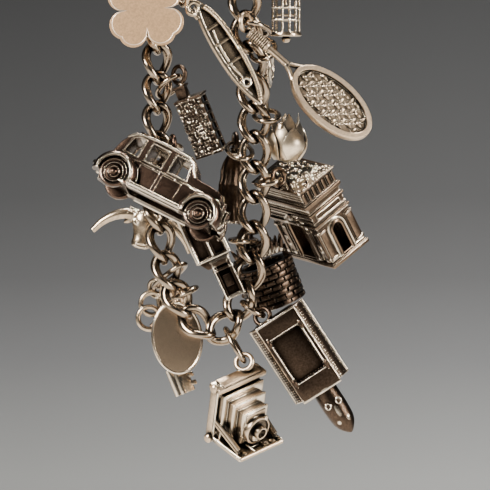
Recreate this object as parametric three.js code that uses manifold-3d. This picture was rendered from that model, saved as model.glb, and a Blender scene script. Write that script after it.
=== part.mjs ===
// A charm bracelet of oxidised silver: a twisted curb chain closed by a plain
// ring, and seventeen charms, each on its own jump ring. It hangs by the closing
// ring. X runs to the right of the picture, Y away from the viewer and Z up.

import * as THREE from 'three';
import { mergeVertices } from 'three/addons/utils/BufferGeometryUtils.js';
import Module from 'manifold-3d';

const wasm = await Module();
wasm.setup();

// Sizes in millimetres, angles in degrees.

// Places are given as picture pixels across and down, and turned to millimetres here.
const PIXEL = 0.155;
const HANG_ACROSS = 200;
const HANG_DOWN = -245;

// Chain
const WIRE = 1.4;
const LINK_PITCH = 4.68;
const LINK_WIDTH = 3.95;
const LINK_TWIST = 45;
const LINK_BITE = 0.74;
const LINK_STEPS = 10;
const WIRE_SIDES = 5;

// Closing ring at the top of the loop
const CLASP_RADIUS = 3.3;
const CLASP_WIRE = 1.1;
const CLASP_ANGLE = 56;
const CLEARANCE = 0.3;

// Jump rings and the eyes soldered to the charms. JOINT is how deep soldered forms meet.
const JUMP_WIRE = 0.8;
const JUMP_WIDTH = 3.8;
const JUMP_SEAT = 1.6;
const EYE_WIRE = 0.75;
const EYE_RADIUS = 1.3;
const STEM = 3.0;
const JOINT = 0.1;
const RING_STEPS = 10;
const EYE_STEPS = 8;
const RING_SIDES = 4;

// Charms
const CLOVER = { lobe: 2.2, reach: 3.55, offset: 2.2, heart: 3.1, thick: 1.2, points: 32 };
const CAR = {
  wheelbase: 15.1, wheel: 2.35, tyre: 1.4, hub: 1.0, fender: 3.1, fenderThick: 0.5,
  fenderWide: 1.9, body: 5.0, roof: 7.6, bonnet: 4.7, rear: 9.6, nose: 9.4, sill: 1.0,
  windowHigh: 2.3, pane: 0.45, board: 0.55, bumper: 0.5, lamp: 0.85,
};
const TOWER = { wide: 4.3, deep: 2.6, high: 9.6, cap: 1.7, capHigh: 2.0, slot: 0.9, band: 0.4 };
const BOAT = { long: 18.2, wide: 3.3, thick: 1.7, well: 0.9, rib: 0.38, scroll: 0.95 };
const RACKET = {
  long: 15.0, wide: 8.8, rim: 0.95, thick: 1.3, web: 0.8, shaft: 0.55, grip: 0.95, handle: 9.5,
  gripLong: 3.6,
};
const BUD = { radius: 2.8, high: 7.6, petal: 1.15 };
const ARCH = {
  wide: 12.4, deep: 7.7, high: 14.8, base: 1.1, ledge: 0.5, door: 4.2, doorHigh: 7.6,
  gate: 2.2, gateHigh: 5.6, attic: 2.6, cornice: 0.8, panel: 2.0, panelHigh: 2.6,
};
const WELL = { radius: 4.3, wall: 0.9, high: 6.4, bore: 2.2, course: 0.2, post: 0.55, roof: 2.1, eaves: 1.6 };
const CART = {
  wide: 6.8, long: 14.0, thick: 3.6, panelWide: 5.4, panelLong: 8.0, recess: 1.1, side: 1.0,
  skirt: 1.7, drop: 0.6, neck: 1.9, head: 8.0,
};
const CAMERA = {
  wide: 9.2, high: 10.8, plate: 1.3, cap: 0.9, step: 1.5, shrink: 1.5, bed: 0.8,
  lens: 1.95, lensLong: 1.7, knob: 0.6,
};
const DISC = { wide: 8.0, high: 11.4, thick: 0.9 };
const KEY = { bow: 1.75, bowWire: 0.8, shank: 0.75, long: 13.0, bit: 3.0, bitLong: 4.4, thick: 1.1 };
const STEER = { brow: 2.0, muzzle: 1.1, face: 5.4, span: 8.0, horn: 0.85, droop: 2.4 };
const CHAPEL = { wide: 5.2, deep: 2.6, high: 8.0, spire: 3.0, spireHigh: 5.6, frame: 0.5, recess: 0.6 };
const BELL = { mouth: 2.5, crown: 1.0, high: 11.6, fold: 0.55 };
const CAGE = { radius: 2.1, high: 8.4, bar: 0.34, bars: 6, floor: 0.7 };
const COIN = { radius: 3.0, thick: 1.0, bead: 0.4 };

// The chain's way round from the closing ring: across, down, and the turn of the links' face.
const ROUTE = [
  [232, -180, -40], [241, -110, -20], [244, -50, 0], [245, 12, 0], [248, 45, 0], [252, 78, 0],
  [254, 115, 0], [254.5, 160, 0], [254, 205, 0], [253, 240, 0], [250, 268, 5],
  [243, 293, 10], [234, 315, 15], [221, 329, 20], [205, 328, 25], [190, 316, 32],
  [176, 294, 38], [166, 266, 40], [161, 240, 40], [158, 200, 40], [157, 150, 40],
  [157, 100, 40], [157, 50, 40], [156, 0, 40], [157, -50, 40], [160, -110, 42],
  [169, -180, 45],
];

const SILVER = { color: 0x8c7c6c, roughness: 0.38, metalness: 0.9 };
const DARK_SILVER = { color: 0x5e5248, roughness: 0.45, metalness: 0.9 };
const WARM_SILVER = { color: 0xc4a78f, roughness: 0.5, metalness: 0.7 };

const X = new THREE.Vector3(1, 0, 0);
const Y = new THREE.Vector3(0, 1, 0);

function radians(degrees) {
  return THREE.MathUtils.degToRad(degrees);
}

// A picture place at a depth, in millimetres from the point where the bracelet hangs.
function spot(across, down, depth = 0) {
  return new THREE.Vector3((across - HANG_ACROSS) * PIXEL, depth, (HANG_DOWN - down) * PIXEL);
}

// Solids: three.js shapes made closed, then joined or cut.

function solid(geometry) {
  const bare = geometry.index ? geometry.toNonIndexed() : geometry;
  bare.deleteAttribute('normal');
  bare.deleteAttribute('uv');
  const merged = mergeVertices(bare, 1e-4);
  return new wasm.Manifold(new wasm.Mesh({
    numProp: 3,
    vertProperties: new Float32Array(merged.attributes.position.array),
    triVerts: new Uint32Array(merged.index.array),
  }));
}

function join(solids) {
  return solids.reduce((all, next) => all.add(next));
}

function geometryOf(body) {
  const mesh = body.getMesh();
  const geometry = new THREE.BufferGeometry();
  geometry.setAttribute('position', new THREE.BufferAttribute(mesh.vertProperties, 3));
  geometry.setIndex(new THREE.BufferAttribute(mesh.triVerts, 1));
  const flat = geometry.toNonIndexed();
  flat.computeVertexNormals();
  return flat;
}

function block(wide, deep, high, x = 0, y = 0, z = 0) {
  return solid(new THREE.BoxGeometry(wide, deep, high).translate(x, y, z));
}

// A round bar or cone between two points.
function bar(from, to, radiusFrom, radiusTo = radiusFrom, sides = 8) {
  const start = new THREE.Vector3(...from);
  const way = new THREE.Vector3(...to).sub(start);
  const geometry = new THREE.CylinderGeometry(radiusTo, radiusFrom, way.length(), sides);
  geometry.translate(0, way.length() / 2, 0);
  geometry.applyQuaternion(new THREE.Quaternion().setFromUnitVectors(Y, way.clone().normalize()));
  geometry.translate(start.x, start.y, start.z);
  return solid(geometry);
}

function ball(radius, x, y, z, sides = 6) {
  return solid(new THREE.SphereGeometry(radius, sides, 4).translate(x, y, z));
}

// A flat outline in X and Z, as thick as given along Y and centred on it.
function plate(points, thick, holes = []) {
  const shape = new THREE.Shape(points);
  shape.holes = holes.map((hole) => new THREE.Path(hole));
  const geometry = new THREE.ExtrudeGeometry(shape, { depth: thick, bevelEnabled: false });
  return solid(geometry.rotateX(Math.PI / 2).translate(0, thick / 2, 0));
}

function polygon(pairs) {
  return pairs.map(([x, z]) => new THREE.Vector2(x, z));
}

function oval(halfWide, halfHigh, count) {
  const points = [];
  for (let i = 0; i < count; i += 1) {
    const angle = (i / count) * 2 * Math.PI;
    points.push(new THREE.Vector2(halfWide * Math.cos(angle), halfHigh * Math.sin(angle)));
  }
  return points;
}

// A solid of revolution about Z from pairs of radius and height.
function turned(pairs, sides) {
  return solid(new THREE.LatheGeometry(polygon(pairs), sides).rotateX(Math.PI / 2));
}

// An oval ring of round wire in X and Y, bent from a torus.
function ovalRing(halfLong, halfWide, wire, steps, sides) {
  const geometry = new THREE.TorusGeometry(1, 0.1, sides, steps);
  const places = geometry.attributes.position;
  for (let i = 0; i < places.count; i += 1) {
    const angle = Math.atan2(places.getY(i), places.getX(i));
    const outward = (Math.hypot(places.getX(i), places.getY(i)) - 1) * 10 * (wire / 2);
    const normal = new THREE.Vector2(halfWide * Math.cos(angle), halfLong * Math.sin(angle)).normalize();
    places.setXYZ(
      i,
      halfLong * Math.cos(angle) + outward * normal.x,
      halfWide * Math.sin(angle) + outward * normal.y,
      places.getZ(i) * 10 * (wire / 2),
    );
  }
  return geometry;
}

function placed(geometry, x, y, z, at) {
  return geometry.applyMatrix4(new THREE.Matrix4().makeBasis(x, y, z).setPosition(at));
}

// Chain

const LINK_LONG = LINK_PITCH + LINK_BITE * WIRE;
const claspCentre = new THREE.Vector3(0, 0, -(CLASP_RADIUS - CLASP_WIRE / 2));

function claspPoint(side) {
  const angle = radians(-CLASP_ANGLE);
  const out = new THREE.Vector3(side * Math.cos(angle), 0, Math.sin(angle));
  return claspCentre.clone().addScaledVector(out, CLASP_RADIUS);
}

const route = new THREE.CatmullRomCurve3([
  claspPoint(1),
  ...ROUTE.map(([across, down]) => spot(across, down)),
  claspPoint(-1),
], false, 'centripetal');
route.arcLengthDivisions = 1500;

const rolls = [-45, ...ROUTE.map((row) => row[2]), 45];
const hookDepth = WIRE / 2 + CLASP_WIRE / 2 + CLEARANCE;
const firstLink = LINK_LONG / 2 - hookDepth;
const runLength = route.getLength() - 2 * firstLink;
const linkCount = Math.round(runLength / LINK_PITCH) + 1;

// Where a link lies: its centre, its length along the chain, its width and its face.
function linkFrame(index) {
  const along = (firstLink + (index * runLength) / (linkCount - 1)) / route.getLength();
  const t = route.getUtoTmapping(along);
  const place = Math.min(t * (rolls.length - 1), rolls.length - 1.001);
  const row = Math.floor(place);
  const roll = THREE.MathUtils.lerp(rolls[row], rolls[row + 1], place - row);
  const long = route.getTangent(t);
  const face = Y.clone().negate().applyAxisAngle(long, radians(roll));
  return { centre: route.getPoint(t), long, wide: long.clone().cross(face).negate(), face };
}

const links = Array.from({ length: linkCount }, (_, index) => linkFrame(index));

// One curb link: an oval ring twisted about its length, so each end lies across its neighbour's.
function curbLink({ centre, long, wide, face }) {
  const geometry = ovalRing(LINK_LONG / 2, LINK_WIDTH / 2, WIRE, LINK_STEPS, WIRE_SIDES);
  const places = geometry.attributes.position;
  const point = new THREE.Vector3();
  for (let i = 0; i < places.count; i += 1) {
    point.fromBufferAttribute(places, i);
    point.applyAxisAngle(X, radians(LINK_TWIST) * (point.x / (LINK_LONG / 2)));
    places.setXYZ(i, point.x, point.y, point.z);
  }
  return solid(placed(geometry, long, wide, face, centre));
}

function nearestLink(across, down) {
  const wanted = spot(across, down);
  return links.reduce((best, link) => (
    link.centre.distanceTo(wanted) < best.centre.distanceTo(wanted) ? link : best));
}

// Charms, each in its own frame: X across, Z up, its face towards -Y.

function clover() {
  const circles = [];
  for (let quarter = 0; quarter < 4; quarter += 1) {
    for (const side of [-1, 1]) {
      const angle = radians(90 * quarter) + side * Math.atan2(CLOVER.offset, CLOVER.reach);
      const away = Math.hypot(CLOVER.offset, CLOVER.reach);
      circles.push(new THREE.Vector2(away * Math.cos(angle), away * Math.sin(angle)));
    }
  }
  const points = [];
  for (let i = 0; i < CLOVER.points; i += 1) {
    const angle = ((i + 0.5) / CLOVER.points) * 2 * Math.PI;
    const way = new THREE.Vector2(Math.cos(angle), Math.sin(angle));
    const reaches = circles.map((middle) => {
      const ahead = middle.dot(way);
      const aside = Math.abs(middle.cross(way));
      return aside < CLOVER.lobe ? ahead + Math.sqrt(CLOVER.lobe ** 2 - aside ** 2) : 0;
    });
    points.push(way.multiplyScalar(Math.max(CLOVER.heart, ...reaches)));
  }
  return plate(points, CLOVER.thick);
}

// The nearer wheels' plane is at y 0, and the car's body lies behind it.
function carWheel(x, y) {
  const sides = 10;
  const tyre = bar([x, y - CAR.tyre / 2, 0], [x, y + CAR.tyre / 2, 0], CAR.wheel, CAR.wheel, sides);
  const out = y > 0 ? 1 : -1;
  const cap = bar([x, y, 0], [x, y + out * (CAR.tyre / 2 + 0.25), 0], CAR.hub, CAR.hub * 0.7, 5);
  return tyre.add(cap);
}

function carFender(x, y) {
  const outer = oval(CAR.fender + CAR.fenderThick, CAR.fender + CAR.fenderThick, 10);
  const inner = oval(CAR.fender, CAR.fender, 10);
  const back = plate(oval(CAR.fender + JOINT, CAR.fender + JOINT, 10), CAR.fenderThick);
  const hoop = plate(outer, CAR.fenderWide, [inner]).add(back);
  const under = block(20, 20, 10, 0, 0, -5 - CAR.sill * 0.3);
  return hoop.subtract(under).translate(x, y, 0);
}

function car() {
  const far = CAR.body + CAR.fenderWide * 0.6;
  const middle = far / 2;
  const half = CAR.wheelbase / 2;
  const profile = polygon([
    [-CAR.rear, -CAR.sill], [CAR.nose, -CAR.sill], [CAR.nose, CAR.bonnet - 0.9], [CAR.nose - 0.7, CAR.bonnet],
    [4.2, CAR.bonnet + 0.35], [3.0, CAR.roof - 0.3], [1.8, CAR.roof], [-6.4, CAR.roof],
    [-8.3, CAR.roof - 0.8], [-9.2, CAR.roof - 2.4], [-CAR.rear, 2.4],
  ]);
  const windowTop = CAR.roof - 0.95;
  const low = windowTop - CAR.windowHigh;
  const windows = [
    [[-7.9, low], [-5.2, low], [-5.2, windowTop], [-7.4, windowTop - 0.3]],
    [[-4.6, low], [-1.2, low], [-1.2, windowTop], [-4.6, windowTop]],
    [[-0.6, low], [3.0, low], [2.4, windowTop], [-0.6, windowTop]],
  ];
  let body = plate(profile, CAR.body);
  for (const outline of windows) {
    body = body.subtract(plate(polygon(outline), CAR.body * 2));
  }
  const doors = [[-3.0, 3.0], [0.9, 3.0]];
  for (const [x, wide] of doors) {
    for (const side of [-1, 1]) {
      body = body.subtract(block(wide, CAR.pane, 2.3, x, side * CAR.body / 2, 1.7));
    }
  }
  body = body.translate(0, middle, 0);
  const board = block(CAR.wheelbase - 3, far + 0.8, CAR.board, 0, middle, -CAR.sill + CAR.board / 2);
  const wheels = [[-half, 0], [half, 0], [-half, far], [half, far]];
  const parts = [body, board];
  for (const [x, y] of wheels) {
    parts.push(carWheel(x, y), carFender(x, y));
  }
  for (const side of [-1, 1]) {
    const y = middle + side * CAR.body * 0.36;
    parts.push(bar([CAR.nose - 0.6, y, 2.7], [CAR.nose + 1.2, y, 2.7], CAR.lamp, CAR.lamp, 6));
  }
  for (const x of [-CAR.rear - 1.5, CAR.nose + 1.2]) {
    parts.push(bar([x, middle - 2.9, 0.2], [x, middle + 2.9, 0.2], CAR.bumper, CAR.bumper, 5));
    parts.push(block(2.4, 0.7, 0.6, x - Math.sign(x) * 1.1, middle, 0.1));
  }
  return join(parts);
}

function tower() {
  let body = block(TOWER.wide, TOWER.deep, TOWER.high);
  for (let row = 0; row < 4; row += 1) {
    const z = TOWER.high * (-0.36 + 0.24 * row);
    body = body.subtract(block(TOWER.slot, TOWER.deep * 0.5, TOWER.high * 0.17, TOWER.wide / 2, 0, z));
  }
  for (const z of [-TOWER.high / 2 + TOWER.band / 2, TOWER.high / 2 - TOWER.band / 2]) {
    body = body.add(block(TOWER.wide + TOWER.band, TOWER.deep + TOWER.band, TOWER.band, 0, 0, z));
  }
  const capZ = (TOWER.high + TOWER.capHigh) / 2 - JOINT;
  return body.add(block(TOWER.cap, TOWER.cap, TOWER.capHigh + JOINT, -TOWER.wide * 0.2, 0, capZ));
}

function boat() {
  const half = BOAT.long / 2;
  const hull = polygon([
    [0, -half], [BOAT.wide * 0.3, -half * 0.72], [BOAT.wide / 2, -half * 0.25],
    [BOAT.wide / 2, half * 0.3], [BOAT.wide * 0.36, half * 0.7], [0.3, half], [-0.7, half],
    [-BOAT.wide * 0.36, half * 0.7], [-BOAT.wide / 2, half * 0.2],
    [-BOAT.wide * 0.46, -half * 0.35], [-BOAT.wide * 0.25, -half * 0.75],
  ]);
  const inside = polygon([
    [-0.1, -half * 0.75], [BOAT.wide * 0.24, -half * 0.3], [BOAT.wide * 0.26, half * 0.3], [0, half * 0.75],
    [-BOAT.wide * 0.3, half * 0.2], [-BOAT.wide * 0.26, -half * 0.35],
  ]);
  const body = plate(hull, BOAT.thick)
    .subtract(plate(inside, BOAT.well).translate(0, -BOAT.thick / 2, 0));
  const ridge = [
    [BOAT.wide * 0.15, -half * 0.9], [BOAT.wide * 0.42, -half * 0.3],
    [BOAT.wide * 0.42, half * 0.3], [BOAT.wide * 0.1, half * 0.9],
  ];
  const front = -BOAT.thick / 2;
  const ribs = ridge.slice(1).map(([x, z], i) => bar(
    [ridge[i][0], front, ridge[i][1]], [x, front, z], BOAT.rib, BOAT.rib, 5));
  const scroll = solid(new THREE.TorusGeometry(BOAT.scroll, 0.42, 5, 9).rotateX(Math.PI / 2)
    .translate(-BOAT.scroll - 0.2, 0, half - 0.1));
  return join([body, ...ribs, scroll]);
}

function racket() {
  const outer = oval(RACKET.wide / 2, RACKET.long / 2, 18);
  const inner = oval(RACKET.wide / 2 - RACKET.rim, RACKET.long / 2 - RACKET.rim, 18);
  const parts = [
    plate(outer, RACKET.thick, [inner]),
    plate(oval(RACKET.wide / 2 - RACKET.rim / 2, RACKET.long / 2 - RACKET.rim / 2, 18), RACKET.web),
  ];
  const top = RACKET.long / 2 - RACKET.rim / 2;
  const end = top + RACKET.handle;
  parts.push(bar([0, 0, top - 0.2], [0, 0, end - RACKET.gripLong], RACKET.shaft, RACKET.shaft, 6));
  parts.push(bar([0, 0, end - RACKET.gripLong - 0.1], [0, 0, end], RACKET.grip * 0.85, RACKET.grip, 7));
  return join(parts);
}

function bud() {
  const high = BUD.high;
  const body = turned([
    [0, -high / 2], [BUD.radius * 0.62, -high * 0.44], [BUD.radius * 0.97, -high * 0.22],
    [BUD.radius, 0], [BUD.radius * 0.8, high * 0.22], [BUD.radius * 0.5, high * 0.36], [0, high * 0.42],
  ], 9);
  const petals = [-1, 0, 1].map((side) => {
    const x = side * BUD.radius * 0.5;
    const tip = high * (side === 0 ? 0.56 : 0.46);
    return bar([x, -0.6, -0.6], [x * 0.7 + 0.3, -0.4, tip], BUD.petal * 1.3, 0.18, 6);
  });
  return join([body, ...petals]);
}

function arch() {
  const { wide, deep, high } = ARCH;
  const bottom = -high / 2;
  const bodyHigh = high - ARCH.base + JOINT;
  const bodyMiddle = (high - bodyHigh) / 2;
  let body = block(wide - 2 * ARCH.ledge, deep - 2 * ARCH.ledge, bodyHigh, 0, 0, bodyMiddle);
  const door = archway(ARCH.door, ARCH.doorHigh).translate(0, 0, bottom + ARCH.base);
  const gate = archway(ARCH.gate, ARCH.gateHigh).rotate([0, 0, 90]).translate(0, 0, bottom + ARCH.base);
  const atticBottom = high / 2 - ARCH.attic;
  const ledges = [
    atticBottom - ARCH.cornice / 2, (high - ARCH.cornice) / 2, atticBottom - ARCH.attic * 0.8,
  ];
  const wides = [wide, wide - 0.3, wide - ARCH.ledge];
  const base = block(wide, deep, ARCH.base, 0, 0, bottom + ARCH.base / 2);
  const parts = [body.subtract(door).subtract(gate), base];
  ledges.forEach((z, i) => {
    const spare = wide - wides[i];
    parts.push(block(wides[i], deep - spare, i === 2 ? ARCH.cornice * 0.5 : ARCH.cornice, 0, 0, z));
  });
  body = join(parts);
  for (const x of [-1, 1]) {
    const panel = block(ARCH.panel, ARCH.ledge, ARCH.panelHigh, x * wide * 0.33, -deep / 2, bottom);
    body = body.add(panel.translate(0, ARCH.ledge * 0.9, ARCH.base + ARCH.panelHigh));
  }
  return body;
}

// A doorway with a round head, as the solid to cut out.
function archway(wide, high) {
  const points = [new THREE.Vector2(wide / 2, 0)];
  for (let i = 0; i <= 8; i += 1) {
    const angle = (i / 8) * Math.PI;
    const rise = high - wide / 2 + (wide / 2) * Math.sin(angle);
    points.push(new THREE.Vector2((wide / 2) * Math.cos(angle), rise));
  }
  points.push(new THREE.Vector2(-wide / 2, 0));
  return plate(points, 40);
}

function wishingWell() {
  const bottom = -WELL.high;
  let wall = bar([0, 0, bottom], [0, 0, 0], WELL.radius, WELL.radius, 14);
  for (let row = 0; row < 3; row += 1) {
    const z = bottom + (WELL.high * (row + 0.5)) / 3;
    const out = WELL.radius + WELL.course;
    wall = wall.add(bar([0, 0, z - 0.7], [0, 0, z + 0.7], out, out, 14));
  }
  const inner = WELL.radius - WELL.wall;
  wall = wall.subtract(bar([0, 0, -WELL.bore], [0, 0, 1], inner, inner, 12));
  const parts = [wall];
  for (const side of [-1, 1]) {
    const x = side * (WELL.radius - WELL.wall / 2);
    parts.push(block(WELL.post * 2, WELL.post * 2, 2.4, x, 0, 0.9));
  }
  const eave = WELL.radius - 0.2;
  const top = WELL.eaves + WELL.roof;
  const gable = polygon([[-eave, WELL.eaves], [eave, WELL.eaves], [eave * 0.55, top], [-eave * 0.55, top]]);
  parts.push(plate(gable, 3.4));
  return join(parts);
}

// Long way along Z, the head hanging below.
function cart() {
  const { wide, long, thick } = CART;
  let body = block(wide, thick, long, 0, 0, 0);
  body = body.subtract(block(CART.panelWide, CART.recess * 2, CART.panelLong, 0, -thick / 2, 0.2));
  const parts = [body];
  for (const side of [-1, 1]) {
    const reach = side > 0 ? CART.skirt : CART.side;
    const outline = new THREE.Shape(polygon([
      [0, -thick / 2], [side * reach, thick * 0.1], [side * reach, thick / 2], [0, thick / 2],
    ]));
    const geometry = new THREE.ExtrudeGeometry(outline, { depth: long * 0.94, bevelEnabled: false });
    parts.push(solid(geometry.translate(side * (wide / 2 - 0.05), 0, -long * 0.47 + 0.2)));
    for (const z of [-1, 1]) {
      const drop = new THREE.SphereGeometry(CART.drop, 6, 4);
      drop.scale(0.8, 0.7, 1.5);
      drop.translate(side * (CART.panelWide / 2 + 0.35), -thick / 2, z * CART.panelLong * 0.46);
      parts.push(solid(drop));
    }
  }
  const neckTop = -long / 2 + 0.3;
  const front = -thick * 0.15;
  const cheek = neckTop - CART.head * 0.62;
  const nose = [0.5, front - 0.3, neckTop - CART.head];
  parts.push(bar([0.4, 0, neckTop], [0.4, front, cheek], CART.neck, CART.neck * 0.95, 7));
  parts.push(bar([0.4, front, cheek + JOINT], nose, CART.neck * 0.96, 0.7, 7));
  for (const side of [-1, 1]) {
    parts.push(ball(0.5, 0.4 + side * 1.0, front - CART.neck * 0.8, neckTop - CART.head * 0.42));
    parts.push(ball(0.42, 0.45 + side * 0.75, front - CART.neck * 0.75, neckTop - CART.head * 0.76));
  }
  return join(parts);
}

// A folding camera: back plate, three bellows folds, bed and lens.
function bellowsCamera() {
  const parts = [
    block(CAMERA.wide, CAMERA.plate, CAMERA.high),
    block(CAMERA.wide + 0.5, CAMERA.plate + 1.3, CAMERA.cap, 0, -0.4, (CAMERA.high - CAMERA.cap) / 2),
  ];
  let front = -CAMERA.plate / 2;
  for (let fold = 0; fold < 3; fold += 1) {
    const wide = CAMERA.wide - 1.4 - fold * CAMERA.shrink;
    const high = CAMERA.high - 2.4 - fold * CAMERA.shrink;
    const depth = front - (CAMERA.step - JOINT) / 2;
    parts.push(block(wide, CAMERA.step + JOINT, high, 0, depth, -0.2 - fold * 0.35));
    front -= CAMERA.step;
  }
  const bedLong = 3 * CAMERA.step + 2.3;
  const bedZ = -CAMERA.high / 2 + 0.7;
  const bedY = -(CAMERA.plate + bedLong) / 2 + JOINT;
  parts.push(block(CAMERA.wide - 0.4, bedLong, CAMERA.bed, 0, bedY, bedZ));
  const lensZ = -0.9;
  const rim = front - CAMERA.lensLong;
  parts.push(bar([0, front + JOINT, lensZ], [0, rim, lensZ], CAMERA.lens, CAMERA.lens * 0.92, 12));
  parts.push(bar([0, front - 1, lensZ], [0, rim - 0.45, lensZ], CAMERA.lens * 0.5, CAMERA.lens * 0.5, 8));
  parts.push(block(1.4, 1.2, 3.4, 0, front - 0.2, bedZ + 1.6));
  const knobX = -CAMERA.wide / 2;
  parts.push(ball(CAMERA.knob, knobX, -0.4, CAMERA.high / 2 - 0.3));
  parts.push(ball(CAMERA.knob, knobX, -0.4, -CAMERA.high / 2 + 0.9));
  return join(parts);
}

function disc() {
  return plate(oval(DISC.wide / 2, DISC.high / 2, 22), DISC.thick);
}

function key() {
  const parts = [];
  const bowZ = KEY.long / 2;
  for (const side of [-1, 1]) {
    const bow = new THREE.TorusGeometry(KEY.bow, KEY.bowWire / 2, 5, 10).rotateX(Math.PI / 2);
    parts.push(solid(bow.translate(side * KEY.bow * 0.35, 0, bowZ + side * KEY.bow * 0.55)));
  }
  parts.push(block(KEY.shank * 2, KEY.thick, KEY.long - KEY.bow, 0, 0, -KEY.bow * 0.55));
  parts.push(block(KEY.bit, KEY.thick, KEY.bitLong, 0.4, 0, -KEY.long / 2 + KEY.bitLong / 2 - 0.9));
  for (let tooth = 0; tooth < 3; tooth += 1) {
    parts.push(block(0.9, KEY.thick, 0.75, KEY.bit / 2 + 0.6, 0, -KEY.long / 2 + 0.2 + tooth * 1.35));
  }
  return join(parts);
}

function steerHead() {
  const crown = STEER.face / 2;
  const parts = [
    bar([0, 0, crown], [0, -0.3, -crown * 0.55], STEER.brow, STEER.muzzle, 8),
    bar([0, -0.3, -crown * 0.5], [0, -0.5, -crown], STEER.muzzle * 0.95, STEER.muzzle * 1.15, 8),
  ];
  for (const side of [-1, 1]) {
    const root = [side * STEER.brow * 0.6, 0, crown * 0.7];
    const bend = [side * STEER.span * 0.56, -0.2, crown * 0.75];
    const tip = [side * STEER.span, 0, crown * 0.7 - STEER.droop];
    parts.push(bar(root, bend, STEER.horn, STEER.horn * 0.8, 5));
    parts.push(ball(STEER.horn * 0.84, ...bend, 5));
    parts.push(bar(bend, tip, STEER.horn * 0.8, 0.16, 5));
    parts.push(ball(0.5, side * STEER.brow * 0.62, -STEER.brow * 0.62, crown * 0.35));
  }
  return join(parts);
}

function chapel() {
  const { wide, deep, high, spire, spireHigh } = CHAPEL;
  const base = block(wide, deep, high, 0, 0, high / 2);
  const slope = polygon([[-wide / 2, JOINT], [wide / 2, JOINT], [wide * 0.3, -1.4], [-wide * 0.3, -1.4]]);
  const gable = plate(slope, deep);
  const tall = spireHigh + 1;
  const spireZ = -1 - tall / 2 + 1;
  let small = block(spire, deep * 0.8, tall, wide * 0.12, 0, spireZ);
  const window = block(spire - 2 * CHAPEL.frame, CHAPEL.recess * 2, tall * 0.5, wide * 0.12, -deep * 0.4);
  small = small.subtract(window.translate(0, 0, spireZ - tall * 0.1));
  const ledge = block(wide + 0.5, deep + 0.4, CHAPEL.frame, 0, 0, high - CHAPEL.frame / 2);
  const niche = block(wide * 0.4, CHAPEL.recess * 2, high * 0.5, 0, -deep / 2, high * 0.5);
  return join([base.subtract(niche), gable, small, ledge]);
}

function bell() {
  const high = BELL.high;
  const parts = [turned([
    [0, -high / 2], [BELL.mouth, -high / 2], [BELL.mouth * 0.92, -high * 0.36],
    [BELL.mouth * 0.7, -high * 0.05],
    [BELL.mouth * 0.78, high * 0.2], [BELL.crown, high * 0.4], [BELL.crown * 0.7, high / 2], [0, high / 2],
  ], 10)];
  for (let i = 0; i < 4; i += 1) {
    const angle = radians(180 + 45 * i + 22);
    const low = [Math.cos(angle) * BELL.mouth * 0.95, Math.sin(angle) * BELL.mouth * 0.95, -high * 0.44];
    const top = [Math.cos(angle) * BELL.mouth * 0.6, Math.sin(angle) * BELL.mouth * 0.6, high * 0.22];
    parts.push(bar(low, top, BELL.fold, BELL.fold * 0.7, 5));
  }
  return join(parts);
}

function cage() {
  const { radius, high } = CAGE;
  const parts = [
    bar([0, 0, -high / 2], [0, 0, -high / 2 + CAGE.floor], radius + 0.35, radius + 0.35, 10),
    bar([0, 0, high * 0.22], [0, 0, high * 0.22 + CAGE.floor], radius + 0.25, radius + 0.25, 10),
    bar([0, 0, high * 0.22 + CAGE.floor - 0.05], [0, 0, high / 2], radius, 0.5, 10),
    ball(0.75, 0, 0, -high / 2 - 0.25),
  ];
  for (let i = 0; i < CAGE.bars; i += 1) {
    const angle = (i / CAGE.bars) * 2 * Math.PI;
    const x = radius * Math.cos(angle);
    const y = radius * Math.sin(angle);
    parts.push(bar([x, y, -high / 2 + 0.1], [x, y, high * 0.22 + 0.1], CAGE.bar, CAGE.bar, 4));
  }
  return join(parts);
}

function coin() {
  const half = COIN.thick / 2;
  const face = bar([0, -half, 0], [0, half, 0], COIN.radius, COIN.radius, 16);
  const edge = COIN.radius + COIN.bead;
  return face.add(bar([0, -COIN.bead, 0], [0, COIN.bead, 0], edge, edge, 16));
}

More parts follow.
